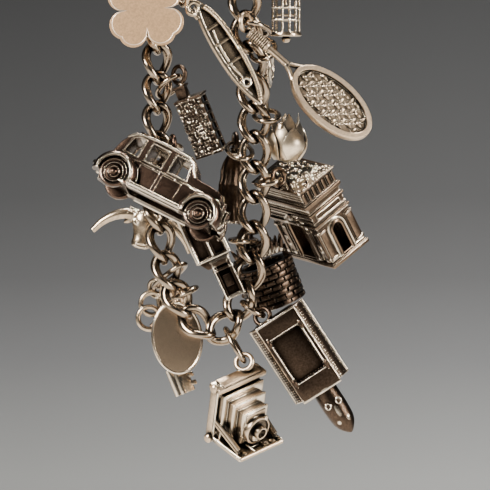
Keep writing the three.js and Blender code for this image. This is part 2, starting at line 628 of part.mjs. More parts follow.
// Each charm's place: its origin at across, down and depth, its tilt in the picture, its pitch and
// yaw, its eye in its own frame, and the place of the chain link that it hangs from.
const CHARMS = [
  { name: 'clover', make: clover, look: WARM_SILVER, at: [146, 10, -4.6], turn: [-4, 0, 0],
    eye: [0.6, 1.4, -4.1], link: [157, 31], side: 1, slide: -0.5 },
  { name: 'saloon_car', make: car, look: SILVER, at: [156.9, 193.7, -11.0], turn: [30, -12, -16],
    eye: [-3.4, 5.8, CAR.roof + 1.7], link: [157, 152], side: -1, slide: 0 },
  { name: 'tower_block', make: tower, look: DARK_SILVER, at: [201, 125, -0.4], turn: [-22, 8, -24],
    eye: [-0.8, 0.8, TOWER.high / 2 + 3.5], link: [157, 91], side: -1, slide: 0.5 },
  { name: 'slender_boat', make: boat, look: SILVER, at: [230, 54, -3.4], turn: [-32, 0, 14],
    eye: [-1.4, 0.8, BOAT.long / 2 + 2.2], link: [156, 1], side: -1, slide: 0 },
  { name: 'tennis_racket', make: racket, look: SILVER, at: [331, 103, -3.0], turn: [-49, 0, 30],
    eye: [0.8, 0, RACKET.long / 2 + RACKET.handle + 1], link: [246, 30], side: 1, slide: 0 },
  { name: 'lotus_bud', make: bud, look: WARM_SILVER, at: [287, 138, 2.3], turn: [0, 0, 0],
    eye: [-3.2, 1.4, BUD.high / 2 + 0.5], link: [254, 121], side: 1, slide: -0.5 },
  { name: 'triumphal_arch', make: arch, look: DARK_SILVER, at: [310.9, 212, 7.4], turn: [-26.5, 27.1, -62.9],
    eye: [0.8, -3, ARCH.high / 2 + 1.6], link: [254, 181], side: 1, slide: 0 },
  { name: 'wishing_well', make: wishingWell, look: DARK_SILVER, at: [264, 266, 7.0], turn: [-20, 10, 0],
    eye: [-0.8, 0, WELL.eaves + WELL.roof + 1.1], link: [253, 242], side: -1, slide: 0 },
  { name: 'animal_cart', make: cart, look: DARK_SILVER, at: [298, 354, -1.6], turn: [-33, 6, 0],
    eye: [-1.5, 0.8, CART.long / 2 + 1], link: [240, 300], side: 1, slide: 0.5 },
  { name: 'folding_camera', make: bellowsCamera, look: SILVER, at: [233, 403, -0.5], turn: [7.1, 36.2, 45.6],
    eye: [2.2, 1, CAMERA.high / 2 + 1.2], link: [225, 326], side: 1, slide: 0.5 },
  { name: 'oval_disc', make: disc, look: SILVER, at: [177, 338, 3.4], turn: [-6, 0, 0],
    eye: [0.8, 0, DISC.high / 2 + 0.9], link: [179, 300], side: -1, slide: 0.5 },
  { name: 'key', make: key, look: SILVER, at: [166, 350, 5.0], turn: [-21.8, 0, 0],
    eye: [2.2, 0, KEY.long / 2 + 3], link: [168, 272], side: -1, slide: 0 },
  { name: 'steer_head', make: steerHead, look: SILVER, at: [144, 229, 5.4], turn: [13, 0, 0],
    eye: [0.8, 0, STEER.face / 2 + 1.1], link: [159, 212], side: -1, slide: 0.5 },
  { name: 'chapel', make: chapel, look: DARK_SILVER, at: [214, 258, -3.3], turn: [-25, 0, 0],
    eye: [0, 0.8, CHAPEL.high + 2.6], link: [157, 182], side: -1, slide: -0.5 },
  { name: 'draped_bell', make: bell, look: DARK_SILVER, at: [231, 186, 4.9], turn: [6, 0, 0],
    eye: [0, 0, BELL.high / 2 + 1], link: [254, 151], side: -1, slide: 0.5 },
  { name: 'bird_cage', make: cage, look: SILVER, at: [286, 9, 3.0], turn: [0, 0, 15],
    eye: [-0.8, 0, CAGE.high / 2 + 0.8], link: [244, -30], side: 1, slide: 0 },
  { name: 'beaded_coin', make: coin, look: SILVER, at: [268.5, 66, 5.2], turn: [0, 0, 82],
    eye: [0.8, 0.8, COIN.radius + 1.2], link: [250, 60], side: 1, slide: -0.5 },
];

function charmMatrix({ at, turn }) {
  const [tilt, pitch, yaw] = turn.map(radians);
  const matrix = new THREE.Matrix4().makeRotationFromEuler(new THREE.Euler(pitch, tilt, yaw, 'YXZ'));
  return matrix.setPosition(spot(...at));
}

// The jump ring goes round one side wire of its link and through the charm's eye.
function hanging(charm) {
  const { centre, wide, long: wireWay } = nearestLink(...charm.link);
  const wire = centre.clone().addScaledVector(wide, (charm.side * LINK_WIDTH) / 2);
  wire.addScaledVector(wireWay, charm.slide);
  const eye = new THREE.Vector3(...charm.eye).applyMatrix4(charmMatrix(charm));
  const start = wire.clone().addScaledVector(eye.clone().sub(wire).normalize(), -JUMP_SEAT);
  const way = eye.clone().sub(start);
  const long = way.clone().normalize();
  const through = wireWay.clone().cross(long).normalize();
  return { middle: start.clone().addScaledVector(way, 0.5), half: way.length() / 2, long, through, eye };
}

function jumpRing({ middle, half, long, through }) {
  const ring = ovalRing(half, Math.min(half, JUMP_WIDTH / 2), JUMP_WIRE, RING_STEPS, RING_SIDES);
  return solid(placed(ring, long, through, long.clone().cross(through), middle));
}

// The eye is a small ring across the jump ring's wire, with a stem into the charm.
function eyeAndStem({ long, through, eye }, charm) {
  const back = charmMatrix(charm).invert();
  const middle = eye.clone().addScaledVector(long, EYE_RADIUS - EYE_WIRE / 2 - JUMP_WIRE / 2 - CLEARANCE);
  const ring = new THREE.TorusGeometry(EYE_RADIUS, EYE_WIRE / 2, RING_SIDES, EYE_STEPS);
  const across = long.clone().cross(through);
  const loop = solid(placed(ring, long, across.clone().negate(), through, middle).applyMatrix4(back));
  const core = spot(...charm.at);
  const inward = core.clone().sub(middle);
  const edge = inward.clone().addScaledVector(through, -inward.dot(through)).normalize();
  const start = middle.clone().addScaledVector(edge, EYE_RADIUS);
  const down = core.clone().sub(start);
  const end = start.clone().addScaledVector(down.clone().normalize(), Math.min(down.length(), STEM));
  start.applyMatrix4(back);
  end.applyMatrix4(back);
  return loop.add(bar(start.toArray(), end.toArray(), EYE_WIRE / 2, EYE_WIRE / 2, RING_SIDES));
}

const group = new THREE.Group();

function addMesh(name, body, look, matrix) {
  const mesh = new THREE.Mesh(geometryOf(body), new THREE.MeshStandardMaterial(look));
  mesh.name = name;
  if (matrix) {
    matrix.decompose(mesh.position, mesh.quaternion, mesh.scale);
  }
  group.add(mesh);
}

addMesh('curb_chain', join(links.map(curbLink)), SILVER);

const claspRing = new THREE.TorusGeometry(CLASP_RADIUS, CLASP_WIRE / 2, 7, 16).rotateX(Math.PI / 2);
addMesh('closing_ring', solid(claspRing.translate(0, 0, claspCentre.z)), SILVER);

for (const charm of CHARMS) {
  const hang = hanging(charm);
  addMesh(`jump_ring_${charm.name}`, jumpRing(hang), SILVER);
  addMesh(charm.name, charm.make().add(eyeAndStem(hang, charm)), charm.look, charmMatrix(charm));
}

export default group;
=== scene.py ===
# %% [markdown]
# # A silver charm bracelet
# The bracelet hangs by its closing ring, so the curb chain makes a long loop and every charm hangs
# from a link on a jump ring of its own. The real one is sterling silver: the charms are cast, the
# chain and rings are bent from wire, and all of it is blackened and then polished on the high spots.
# This lesson makes the tools first, then the finishes, the chain, the charms and the light.

import math
import random

import bmesh
import bpy
from mathutils import Euler, Matrix, Vector


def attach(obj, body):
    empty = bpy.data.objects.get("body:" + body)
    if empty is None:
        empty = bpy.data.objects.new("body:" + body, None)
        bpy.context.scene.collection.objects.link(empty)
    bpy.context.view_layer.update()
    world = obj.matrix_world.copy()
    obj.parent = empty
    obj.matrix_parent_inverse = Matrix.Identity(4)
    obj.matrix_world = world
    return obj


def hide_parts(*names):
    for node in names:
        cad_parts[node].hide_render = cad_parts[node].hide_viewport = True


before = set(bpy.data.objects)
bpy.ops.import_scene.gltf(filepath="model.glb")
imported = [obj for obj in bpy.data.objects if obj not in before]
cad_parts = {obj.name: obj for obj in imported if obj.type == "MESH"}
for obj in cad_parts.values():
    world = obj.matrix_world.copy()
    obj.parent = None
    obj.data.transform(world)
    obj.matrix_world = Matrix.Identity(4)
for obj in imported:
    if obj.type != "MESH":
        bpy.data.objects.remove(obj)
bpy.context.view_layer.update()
print("pieces to dress:", len(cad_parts))

# %% [markdown]
# ## Places
# The bracelet was measured on a picture, so places are written as pixels across and down, with a
# depth in millimetres away from the viewer. One pixel is 0.155 mm. A chart of pixels is easy to
# check by eye, which is why it is kept instead of millimetres.

# %% Places and turns
MM = 0.001
PIXEL = 0.155
HANG_ACROSS = 200
HANG_DOWN = -245
TURN = 2 * math.pi


def spot(across, down, depth=0.0):
    """A point of the picture, depth away from the plane that the bracelet hangs in."""
    return Vector(((across - HANG_ACROSS) * PIXEL, depth, (HANG_DOWN - down) * PIXEL))


def turned_by(angles):
    """Turns about X, then Y, then Z, from three angles in degrees."""
    return Euler([math.radians(a) for a in angles], "XYZ").to_matrix().to_4x4()


def seat(at, turn):
    """A charm's own frame: its tilt in the picture, then its pitch, then its yaw."""
    tilt, pitch, yaw = (math.radians(a) for a in turn)
    return (Matrix.Translation(spot(*at)) @ Matrix.Rotation(tilt, 4, "Y")
            @ Matrix.Rotation(pitch, 4, "X") @ Matrix.Rotation(yaw, 4, "Z"))


def upright(at, way):
    """Stands something made along Z at a point, along the given way."""
    return Matrix.Translation(at) @ Vector(way).to_track_quat("Z", "Y").to_matrix().to_4x4()


print("the top left of the picture in mm:", [round(v, 1) for v in spot(0, 0)])

# %% [markdown]
# ## Shaping tools
# A cast charm starts as a wax: blocks, rolled threads, balls, turned knobs and cut sheet, pressed
# together. The tools below are those five things and a skin over rings, for what none of them makes.
# Each makes a closed form and adds it to the charm, and blocks and sheet get softened edges, as the
# tumbling barrel gives them. A thin thread is a raised line, which polishing rubs bare first, so its
# points carry a mark for the finish to read.

# %% Shaping tools
SHARP_ANGLE = 0.45
AXIS_RADIUS = 0.004
RAISED_LINE = 0.31
RUBBED_BARE = 0.9


def add(form, part, place=None, rubbed=0.0):
    """Puts a finished part into the charm's form; rubbed says how bare wear has left it."""
    mark = part.verts.layers.float.get("rubbed") or part.verts.layers.float.new("rubbed")
    for v in part.verts:
        v[mark] = rubbed
    if place is not None:
        part.transform(place)
    sheet = bpy.data.meshes.new("part")
    part.to_mesh(sheet)
    part.free()
    form.from_mesh(sheet)
    bpy.data.meshes.remove(sheet)


def at_depth(pairs, y):
    return [(x, y, z) for x, z in pairs]


def angles(count):
    return [TURN * i / count for i in range(count)]


def single(shape, *sizes, **more):
    """One piece made by itself, to be set out or to cut with."""
    form = bmesh.new()
    shape(form, *sizes, **more)
    return form


def soften(part, size, steps=2):
    """Rounds every edge sharper than about 26 degrees."""
    if size <= 0:
        return
    part.normal_update()
    sharp = [e for e in part.edges if len(e.link_faces) == 2 and e.calc_face_angle(0.0) > SHARP_ANGLE]
    bmesh.ops.bevel(part, geom=sharp, offset=size, segments=steps, profile=0.6,
                    affect="EDGES", clamp_overlap=True)


def block(form, size, at=(0, 0, 0), turn=(0, 0, 0), edge=0.12):
    part = bmesh.new()
    bmesh.ops.create_cube(part, size=1.0)
    bmesh.ops.scale(part, vec=size, verts=part.verts)
    soften(part, edge)
    add(form, part, Matrix.Translation(at) @ turned_by(turn))


def loft(form, rings, closed=False, place=None, rubbed=0.0):
    """A skin over a row of rings that all have as many points."""
    part = bmesh.new()
    rows = [[part.verts.new(p) for p in ring] for ring in rings]
    count = len(rows[0])
    pairs = list(zip(rows, rows[1:]))
    if closed:
        pairs.append((rows[-1], rows[0]))
    for low, high in pairs:
        for i in range(count):
            j = (i + 1) % count
            part.faces.new((low[i], low[j], high[j], high[i]))
    if not closed:
        part.faces.new(rows[0][::-1])
        part.faces.new(rows[-1])
    add(form, part, place, rubbed)


def lathe(form, pairs, steps=28, at=(0, 0, 0), way=(0, 0, 1)):
    """Turns pairs of radius and height about an axis."""
    rings = []
    for radius, height in pairs:
        r = max(radius, AXIS_RADIUS)
        rings.append([(r * math.cos(a), r * math.sin(a), height) for a in angles(steps)])
    loft(form, rings, place=upright(at, way))


def thread(form, points, radius, sides=10, closed=False, hint=(0, 1, 0), flat=1.0, place=None):
    """A rolled thread of wax along points; radius may be one number or one for each point."""
    points = [Vector(p) for p in points]
    count = len(points)
    radii = radius if isinstance(radius, (list, tuple)) else [radius] * count
    normal = Vector(hint)
    rings = []
    for i, point in enumerate(points):
        ahead = points[(i + 1) % count] if closed or i < count - 1 else point
        behind = points[i - 1] if closed or i > 0 else point
        way = (ahead - behind).normalized()
        normal = normal - way * normal.dot(way)
        if normal.length < 1e-3:
            normal = way.orthogonal()
        normal.normalize()
        side = way.cross(normal)
        rings.append([point + radii[i] * (math.cos(TURN * k / sides) * flat * normal
                                          + math.sin(TURN * k / sides) * side)
                      for k in range(sides)])
    loft(form, rings, closed=closed, place=place, rubbed=RUBBED_BARE if max(radii) < RAISED_LINE else 0.0)


def ball(form, radius, at, stretch=(1, 1, 1), around=16):
    part = bmesh.new()
    bmesh.ops.create_uvsphere(part, u_segments=around, v_segments=max(6, around // 2), radius=radius)
    add(form, part, Matrix.Translation(at) @ Matrix.Diagonal((*stretch, 1)))


def plate(form, outline, thick, y=0.0, holes=(), edge=0.12, steps=2, place=None):
    """Sheet cut to an outline in X and Z, centred on y, with holes cut through."""
    part = bmesh.new()
    for loop in (outline, *holes):
        verts = [part.verts.new((x, 0, z)) for x, z in loop]
        for a, b in zip(verts, verts[1:] + verts[:1]):
            part.edges.new((a, b))
    bmesh.ops.triangle_fill(part, use_beauty=True, use_dissolve=False, edges=part.edges[:])
    grown = bmesh.ops.extrude_face_region(part, geom=part.faces[:])
    risen = [g for g in grown["geom"] if isinstance(g, bmesh.types.BMVert)]
    bmesh.ops.translate(part, vec=(0, thick, 0), verts=risen)
    bmesh.ops.translate(part, vec=(0, y - thick / 2, 0), verts=part.verts)
    bmesh.ops.recalc_face_normals(part, faces=part.faces)
    soften(part, edge, steps)
    add(form, part, place)


def oval(half_across, half_high, steps=48, middle=(0, 0), start=0.0, sweep=360.0):
    """Points of an oval, or of a part of one, in X and Z."""
    count = steps if sweep == 360 else steps + 1
    rays = [math.radians(start + sweep * i / steps) for i in range(count)]
    return [(middle[0] + half_across * math.cos(a), middle[1] + half_high * math.sin(a))
            for a in rays]


def upright_at(points):
    """Places for copies that keep their own way up and size."""
    return [(point, (0, 0, 0), 1.0) for point in points]


def flowing(points, steps=8):
    """A smooth line through a few chosen points."""
    points = [Vector(p) for p in points]
    line = []
    for i, (b, c) in enumerate(zip(points, points[1:])):
        a = points[i - 1] if i else b * 2 - c
        d = points[i + 2] if i + 2 < len(points) else c * 2 - b
        for k in range(steps):
            t = k / steps
            line.append(0.5 * (2 * b + (c - a) * t + (2 * a - 5 * b + 4 * c - d) * t ** 2
                               + (3 * b - a - 3 * c + d) * t ** 3))
    return line + [points[-1]]


def frame_line(form, corners, radius, y):
    """A thread round a framed panel, in X and Z at depth y."""
    thread(form, at_depth(corners, y), radius, sides=8, closed=True)


def rectangle(x, z, wide, high):
    return [(x - wide / 2, z - high / 2), (x + wide / 2, z - high / 2),
            (x + wide / 2, z + high / 2), (x - wide / 2, z + high / 2)]


trial = bmesh.new()
plate(trial, oval(4, 5), 1.0, holes=[oval(1, 2)])
print("open edges in a pierced plate:", sum(1 for e in trial.edges if not e.is_manifold))
trial.free()

# %% [markdown]
# ## Setting out copies
# Links, bricks, beads and woven strips repeat, and a maker makes one model and repeats it. The node
# tree below does the same: it puts a copy of one piece at each place, takes the copy's turn and size
# from the place, lets it wander a little as hand work does, and gives it the finish. The wander has
# a fixed seed, so the work comes out alike each time.

# %% The tree that sets out copies
def join(target, inputs):
    """Sets a node's inputs, or joins them to the sockets given."""
    for name, value in inputs.items():
        if isinstance(value, bpy.types.NodeSocket):
            target.id_data.links.new(value, target.inputs[name])
        else:
            target.inputs[name].default_value = value
    return target


def node(tree, kind, inputs=None, **settings):
    made = tree.nodes.new(kind)
    for name, value in settings.items():
        setattr(made, name, value)
    return join(made, inputs or {})


def shown(name, data):
    thing = bpy.data.objects.new(name, data)
    bpy.context.scene.collection.objects.link(thing)
    return thing


def copies_tree():
    tree = bpy.data.node_groups.new("set out copies", "GeometryNodeTree")
    sockets = (("Places", "INPUT", "NodeSocketGeometry"), ("Piece", "INPUT", "NodeSocketObject"),
               ("Wander", "INPUT", "NodeSocketFloat"), ("Seed", "INPUT", "NodeSocketInt"),
               ("Finish", "INPUT", "NodeSocketMaterial"), ("Copies", "OUTPUT", "NodeSocketGeometry"))
    for name, way, kind in sockets:
        tree.interface.new_socket(name, in_out=way, socket_type=kind)
    start = node(tree, "NodeGroupInput").outputs
    piece = node(tree, "GeometryNodeObjectInfo", {"Object": start["Piece"]})
    turn, size = (node(tree, "GeometryNodeInputNamedAttribute", {"Name": name}, data_type="FLOAT_VECTOR")
                  for name in ("turn", "size"))
    chance = node(tree, "FunctionNodeRandomValue",
                  {"Min": (-1, -1, -1), "Max": (1, 1, 1), "Seed": start["Seed"]}, data_type="FLOAT_VECTOR")
    drift = node(tree, "ShaderNodeVectorMath", {0: chance.outputs["Value"], "Scale": start["Wander"]},
                 operation="SCALE")
    moved = node(tree, "GeometryNodeSetPosition",
                 {"Geometry": start["Places"], "Offset": drift.outputs["Vector"]})
    copy = node(tree, "GeometryNodeInstanceOnPoints",
                {"Points": moved.outputs["Geometry"], "Instance": piece.outputs["Geometry"],
                 "Rotation": turn.outputs["Attribute"], "Scale": size.outputs["Attribute"]})
    real = node(tree, "GeometryNodeRealizeInstances", {"Geometry": copy.outputs["Instances"]})
    dress = node(tree, "GeometryNodeSetMaterial",
                 {"Geometry": real.outputs["Geometry"], "Material": start["Finish"]})
    node(tree, "NodeGroupOutput", {"Copies": dress.outputs["Geometry"]})
    return tree


COPIES = copies_tree()
INPUT = {item.name: item.identifier for item in COPIES.interface.items_tree if item.in_out == "INPUT"}


def in_scene(name, form):
    """Shows a form as an object for a moment, so that a modifier can work on it."""
    bmesh.ops.recalc_face_normals(form, faces=form.faces)
    sheet = bpy.data.meshes.new(name)
    form.to_mesh(sheet)
    return shown(name, sheet)


def worked(thing):
    """The mesh that a thing's modifiers make."""
    bpy.context.view_layer.update()
    graph = bpy.context.evaluated_depsgraph_get()
    return bpy.data.meshes.new_from_object(thing.evaluated_get(graph))


def set_out(form, piece, places, finish, wander=0.0, seed=1):
    """Puts a copy of piece at each (point, turn in degrees, size) and adds them all to form."""
    model = in_scene("one copy", piece)
    piece.free()
    sheet = bpy.data.meshes.new("places")
    sheet.from_pydata([tuple(p) for p, _, _ in places], [], [])
    turns = sheet.attributes.new("turn", "FLOAT_VECTOR", "POINT")
    sizes = sheet.attributes.new("size", "FLOAT_VECTOR", "POINT")
    for i, (_, turn, size) in enumerate(places):
        turns.data[i].vector = [math.radians(a) for a in turn]
        sizes.data[i].vector = size if isinstance(size, (tuple, list)) else (size,) * 3
    points = shown("places", sheet)
    work = points.modifiers.new("set out", "NODES")
    work.node_group = COPIES
    for name, value in (("Piece", model), ("Wander", wander), ("Seed", seed), ("Finish", finish)):
        work[INPUT[name]] = value
    made = worked(points)
    points.modifiers.clear()
    form.from_mesh(made)
    for thing in (points, model):
        bpy.data.objects.remove(thing)


def carve(form, cutter):
    """Cuts one form out of another."""
    body, tool = in_scene("carved", form), in_scene("cutter", cutter)
    cutter.free()
    work = body.modifiers.new("carve", "BOOLEAN")
    work.operation = "DIFFERENCE"
    work.solver = "EXACT"
    work.object = tool
    made = worked(body)
    form.clear()
    form.from_mesh(made)
    for thing in (body, tool):
        bpy.data.objects.remove(thing)


print("inputs of the copies tree:", sorted(INPUT))

# %% [markdown]
# ## Blackened silver
# The smith dips the finished bracelet in liver of sulphur until it is black all over, and then rubs
# it. The black stays in the recesses, the open faces turn to a warm brown grey, and the edges come
# out almost white. The finish follows that order: it feels how enclosed a point is, which keeps the
# black, and how thin the metal is behind it, which tells an edge and shows the bare metal. The mark
# on raised lines adds them to the edges. A cast grain comes last. Every charm was rubbed more or
# less than its neighbour, so there are nine finishes by one recipe, and not one for all.

# %% Finishes
RECESS_REACH, EDGE_REACH = 0.0014, 0.0002
EDGE_ROUND, GRAIN_DEPTH = 0.00012, 0.00006


def ramp(tree, source, stops):
    made = node(tree, "ShaderNodeValToRGB", {"Fac": source})
    marks = made.color_ramp.elements
    marks[0].position, marks[1].position = stops[0][0], stops[-1][0]
    for place, _ in stops[1:-1]:
        marks.new(place)
    for mark, (_, value) in zip(marks, stops):
        mark.color = (*(value if isinstance(value, tuple) else (value,) * 3), 1)
    return made.outputs["Color"]


def mixed(tree, share, low, high, blend="MIX"):
    made = node(tree, "ShaderNodeMix", data_type="RGBA", blend_type=blend)
    for name, value in (("Factor", share), ("A", low), ("B", high)):
        socket = next(s for s in made.inputs if s.name == name and s.type == (
            "VALUE" if name == "Factor" else "RGBA"))
        if isinstance(value, bpy.types.NodeSocket):
            tree.links.new(value, socket)
        else:
            socket.default_value = value if name == "Factor" else (*value, 1)
    return next(s for s in made.outputs if s.type == "RGBA")


def noise(tree, coordinates, scale, detail=3.0, rough=0.55):
    return node(tree, "ShaderNodeTexNoise", {"Scale": scale, "Detail": detail, "Roughness": rough,
                                             "Vector": coordinates}).outputs["Fac"]


def painted(name):
    """A new material, its tree, and the skin that its tree ends in."""
    made = bpy.data.materials.new(name)
    made.use_nodes = True
    return made, made.node_tree, made.node_tree.nodes["Principled BSDF"]


def blackened(name, recess, face, edge, rough, grain=0.25, keep=(0.35, 0.8), worn=(0.36, 0.74), shine=1.0):
    """Silver whose recesses stay black and whose edges are rubbed bare."""
    made, tree, skin = painted(name)
    where = node(tree, "ShaderNodeTexCoord").outputs["Object"]
    blotch = noise(tree, where, 420.0)
    speck = noise(tree, where, 3200.0, 4.0, 0.7)
    shelter = node(tree, "ShaderNodeAmbientOcclusion", {"Distance": RECESS_REACH}, samples=8, only_local=True)
    open_share = ramp(tree, shelter.outputs["AO"], [(keep[0], 0.0), (keep[1], 1.0)])
    stand = node(tree, "ShaderNodeAmbientOcclusion", {"Distance": EDGE_REACH}, samples=8, only_local=True,
                 inside=True)
    edge_share = ramp(tree, stand.outputs["AO"], [(worn[0], 1.0), (worn[1], 0.0)])
    patchy = ramp(tree, blotch, [(0.3, 0.55), (0.7, 1.0)])
    line = node(tree, "ShaderNodeAttribute", attribute_name="rubbed")
    raised = mixed(tree, 1.0, edge_share, line.outputs["Color"], "LIGHTEN")
    worn_share = mixed(tree, 1.0, raised, patchy, "MULTIPLY")
    spread = min(0.42, 0.1 + grain)
    dark, light = ([min(1.0, c * share) for c in face] for share in (1 - spread, 1 + 0.6 * spread))
    speckled = mixed(tree, ramp(tree, speck, [(0.35, 0.0), (0.65, 1.0)]), dark, light)
    dirty = mixed(tree, open_share, recess, speckled)
    colour = mixed(tree, worn_share, dirty, edge)
    dull = mixed(tree, worn_share, (rough + 0.05,) * 3, (rough * 0.8,) * 3)
    rounded = node(tree, "ShaderNodeBevel", {"Radius": EDGE_ROUND}, samples=4)
    bump = node(tree, "ShaderNodeBump", {"Strength": grain, "Distance": GRAIN_DEPTH, "Height": speck,
                                         "Normal": rounded.outputs["Normal"]})
    join(skin, {"Base Color": colour, "Metallic": shine, "Roughness": dull, "Normal": bump.outputs["Normal"]})
    return made


BLACK = (0.010, 0.007, 0.005)
BARE = (0.96, 0.86, 0.72)
SILVER = blackened("rubbed silver", BLACK, (0.6, 0.48, 0.35), BARE, 0.22, keep=(0.55, 1.0))
AGED = blackened("aged silver", BLACK, (0.17, 0.12, 0.085), BARE, 0.22, keep=(0.55, 1.0), worn=(0.3, 0.66))
SMOKED = blackened("smoked silver", BLACK, (0.085, 0.055, 0.041), BARE, 0.2, grain=0.35,
                   keep=(0.5, 1.0), worn=(0.42, 0.8))
DARK = blackened("blackened silver", BLACK, (0.075, 0.052, 0.038), (0.95, 0.85, 0.71), 0.24, grain=0.6,
                 keep=(0.5, 1.0), worn=(0.2, 0.6))
WARM = blackened("matt rosy silver", (0.05, 0.035, 0.026), (0.6, 0.39, 0.225), (0.97, 0.86, 0.74), 0.42,
                 grain=0.1, keep=(0.15, 0.55), worn=(0.3, 0.6), shine=0.7)
WIRE_FINISH = blackened("rubbed wire", BLACK, (0.34, 0.275, 0.21), BARE, 0.15, grain=0.1,
                        keep=(0.5, 1.0), worn=(0.12, 0.34))
MIRROR = blackened("polished silver", (0.03, 0.022, 0.018), (0.66, 0.51, 0.37), BARE, 0.22, grain=0.03,
                   keep=(0.1, 0.5))
WOVEN = blackened("woven silver", BLACK, (0.66, 0.52, 0.38), BARE, 0.24, grain=0.1,
                  keep=(0.72, 1.0), worn=(0.3, 0.7))
PETALS = blackened("polished warm silver", (0.03, 0.02, 0.014), (0.86, 0.73, 0.56), (0.99, 0.92, 0.82),
                   0.3, grain=0.04, keep=(0.4, 0.9))
FINISHES = (SILVER, AGED, SMOKED, DARK, WARM, WIRE_FINISH, MIRROR, WOVEN, PETALS)
print("finishes:", [m.name for m in FINISHES])


# %% [markdown]
# ## Finished pieces
# Each form is made in its own frame in millimetres, moved to its place and then to metres, so every
# object sits at the origin and its finish lies in the same room as the others. The piece stands for
# a node of the casting model and says which of the three silvers it is.


def finished(name, form, node, finish, place=None):
    """Turns a form into a piece of the bracelet that stands for the named node."""
    bmesh.ops.recalc_face_normals(form, faces=form.faces)
    form.transform(Matrix.Diagonal((MM, MM, MM, 1)) @ (place or Matrix()))
    sheet = bpy.data.meshes.new(name)
    form.to_mesh(sheet)
    form.free()
    sheet.materials.clear()
    sheet.materials.append(finish)
    sheet.polygons.foreach_set("use_smooth", [True] * len(sheet.polygons))
    sheet.polygons.foreach_set("material_index", [0] * len(sheet.polygons))
    sheet.set_sharp_from_angle(angle=math.radians(38))
    piece = shown(name, sheet)
    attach(piece, "root")
    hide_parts(node)
    return piece


def triangles(piece):
    return sum(len(p.vertices) - 2 for p in piece.data.polygons)


# %% [markdown]
# ## The curb chain
# The chain is a curb: each link is an oval of round wire whose ends are twisted an eighth of a turn
# opposite ways, so neighbours lie over each other. Its way is a smooth line through places on the
# picture, each with a roll, because the chain turns about itself as it hangs. The links are spread
# evenly along it. The link is made once and the copies tree sets it out.

# %% The chain's way
WIRE = 1.4
LINK_PITCH = 4.68
LINK_WIDTH = 3.95
LINK_TWIST = -45
LINK_LONG = LINK_PITCH + 0.74 * WIRE
CLASP_RADIUS = 3.3
CLASP_WIRE = 1.1
CLASP_ANGLE = 56
CLEARANCE = 0.3
ROUTE = [
    (232, -180, -40), (241, -110, -20), (244, -50, 0), (245, 12, 0), (248, 45, 0), (252, 78, 0),
    (254, 115, 0), (254.5, 160, 0), (254, 205, 0), (253, 240, 0), (250, 268, 5), (243, 293, 10),
    (234, 315, 15), (221, 329, 20), (205, 328, 25), (190, 316, 32), (176, 294, 38), (166, 266, 40),
    (161, 240, 40), (158, 200, 40), (157, 150, 40), (157, 100, 40), (157, 50, 40), (156, 0, 40),
    (157, -50, 40), (160, -110, 42), (169, -180, 45),
]
clasp_centre = Vector((0, 0, -(CLASP_RADIUS - CLASP_WIRE / 2)))


def clasp_point(side):
    angle = math.radians(-CLASP_ANGLE)
    return clasp_centre + CLASP_RADIUS * Vector((side * math.cos(angle), 0, math.sin(angle)))


WAY = [clasp_point(1)] + [spot(a, d) for a, d, _ in ROUTE] + [clasp_point(-1)]
ROLLS = [-LINK_TWIST] + [roll for _, _, roll in ROUTE] + [LINK_TWIST]


def way_point(t):
    """A point of the smooth line through WAY, for t from 0 to 1."""
    place = (len(WAY) - 1) * t
    i = min(int(place), len(WAY) - 2)
    share = place - i
    b, c = WAY[i], WAY[i + 1]
    a = WAY[i - 1] if i else b * 2 - c
    d = WAY[i + 2] if i + 2 < len(WAY) else c * 2 - b
    ab, bc, cd = ((q - p).length_squared ** 0.25 for p, q in ((a, b), (b, c), (c, d)))
    leave = ((b - a) / ab - (c - a) / (ab + bc) + (c - b) / bc) * bc
    reach = ((c - b) / bc - (d - b) / (bc + cd) + (d - c) / cd) * bc
    return (b + leave * share + (3 * (c - b) - 2 * leave - reach) * share ** 2
            + (2 * (b - c) + leave + reach) * share ** 3)


STEPS = 1500
steps_along = [0.0]
last = way_point(0)
for step in range(1, STEPS + 1):
    here = way_point(step / STEPS)
    steps_along.append(steps_along[-1] + (here - last).length)
    last = here
whole_way = steps_along[-1]


def share_at(length):
    low, high = 0, STEPS
    while high - low > 1:
        middle = (low + high) // 2
        low, high = (middle, high) if steps_along[middle] <= length else (low, middle)
    return (low + (length - steps_along[low]) / (steps_along[low + 1] - steps_along[low])) / STEPS


first_link = LINK_LONG / 2 - (WIRE / 2 + CLASP_WIRE / 2 + CLEARANCE)
run = whole_way - 2 * first_link
link_count = round(run / LINK_PITCH) + 1
LINKS = []
for number in range(link_count):
    t = share_at(first_link + number * run / (link_count - 1))
    along = (way_point(min(1, t + 1e-4)) - way_point(max(0, t - 1e-4))).normalized()
    place = min(t * (len(ROLLS) - 1), len(ROLLS) - 1.001)
    row = int(place)
    roll = ROLLS[row] + (ROLLS[row + 1] - ROLLS[row]) * (place - row)
    face = Matrix.Rotation(math.radians(roll), 3, along) @ Vector((0, -1, 0))
    LINKS.append({"centre": way_point(t), "long": along, "wide": -along.cross(face), "face": face})
print("way round in mm:", round(whole_way, 1), " links:", link_count)


# %% The links
def oval_wire(form, half_long, half_wide, wire, steps, sides, twist=0.0, place=None):
    """An oval ring of round wire in X and Y, twisted along X."""
    rings = []
    for i in range(steps):
        a = TURN * i / steps
        middle = Vector((half_long * math.cos(a), half_wide * math.sin(a), 0))
        out = Vector((half_wide * math.cos(a), half_long * math.sin(a), 0)).normalized()
        ring = []
        for k in range(sides):
            b = TURN * k / sides
            p = middle + wire / 2 * (math.cos(b) * out + Vector((0, 0, math.sin(b))))
            ring.append(Matrix.Rotation(math.radians(twist) * p.x / half_long, 3, "X") @ p)
        rings.append(ring)
    loft(form, rings, closed=True, place=place)


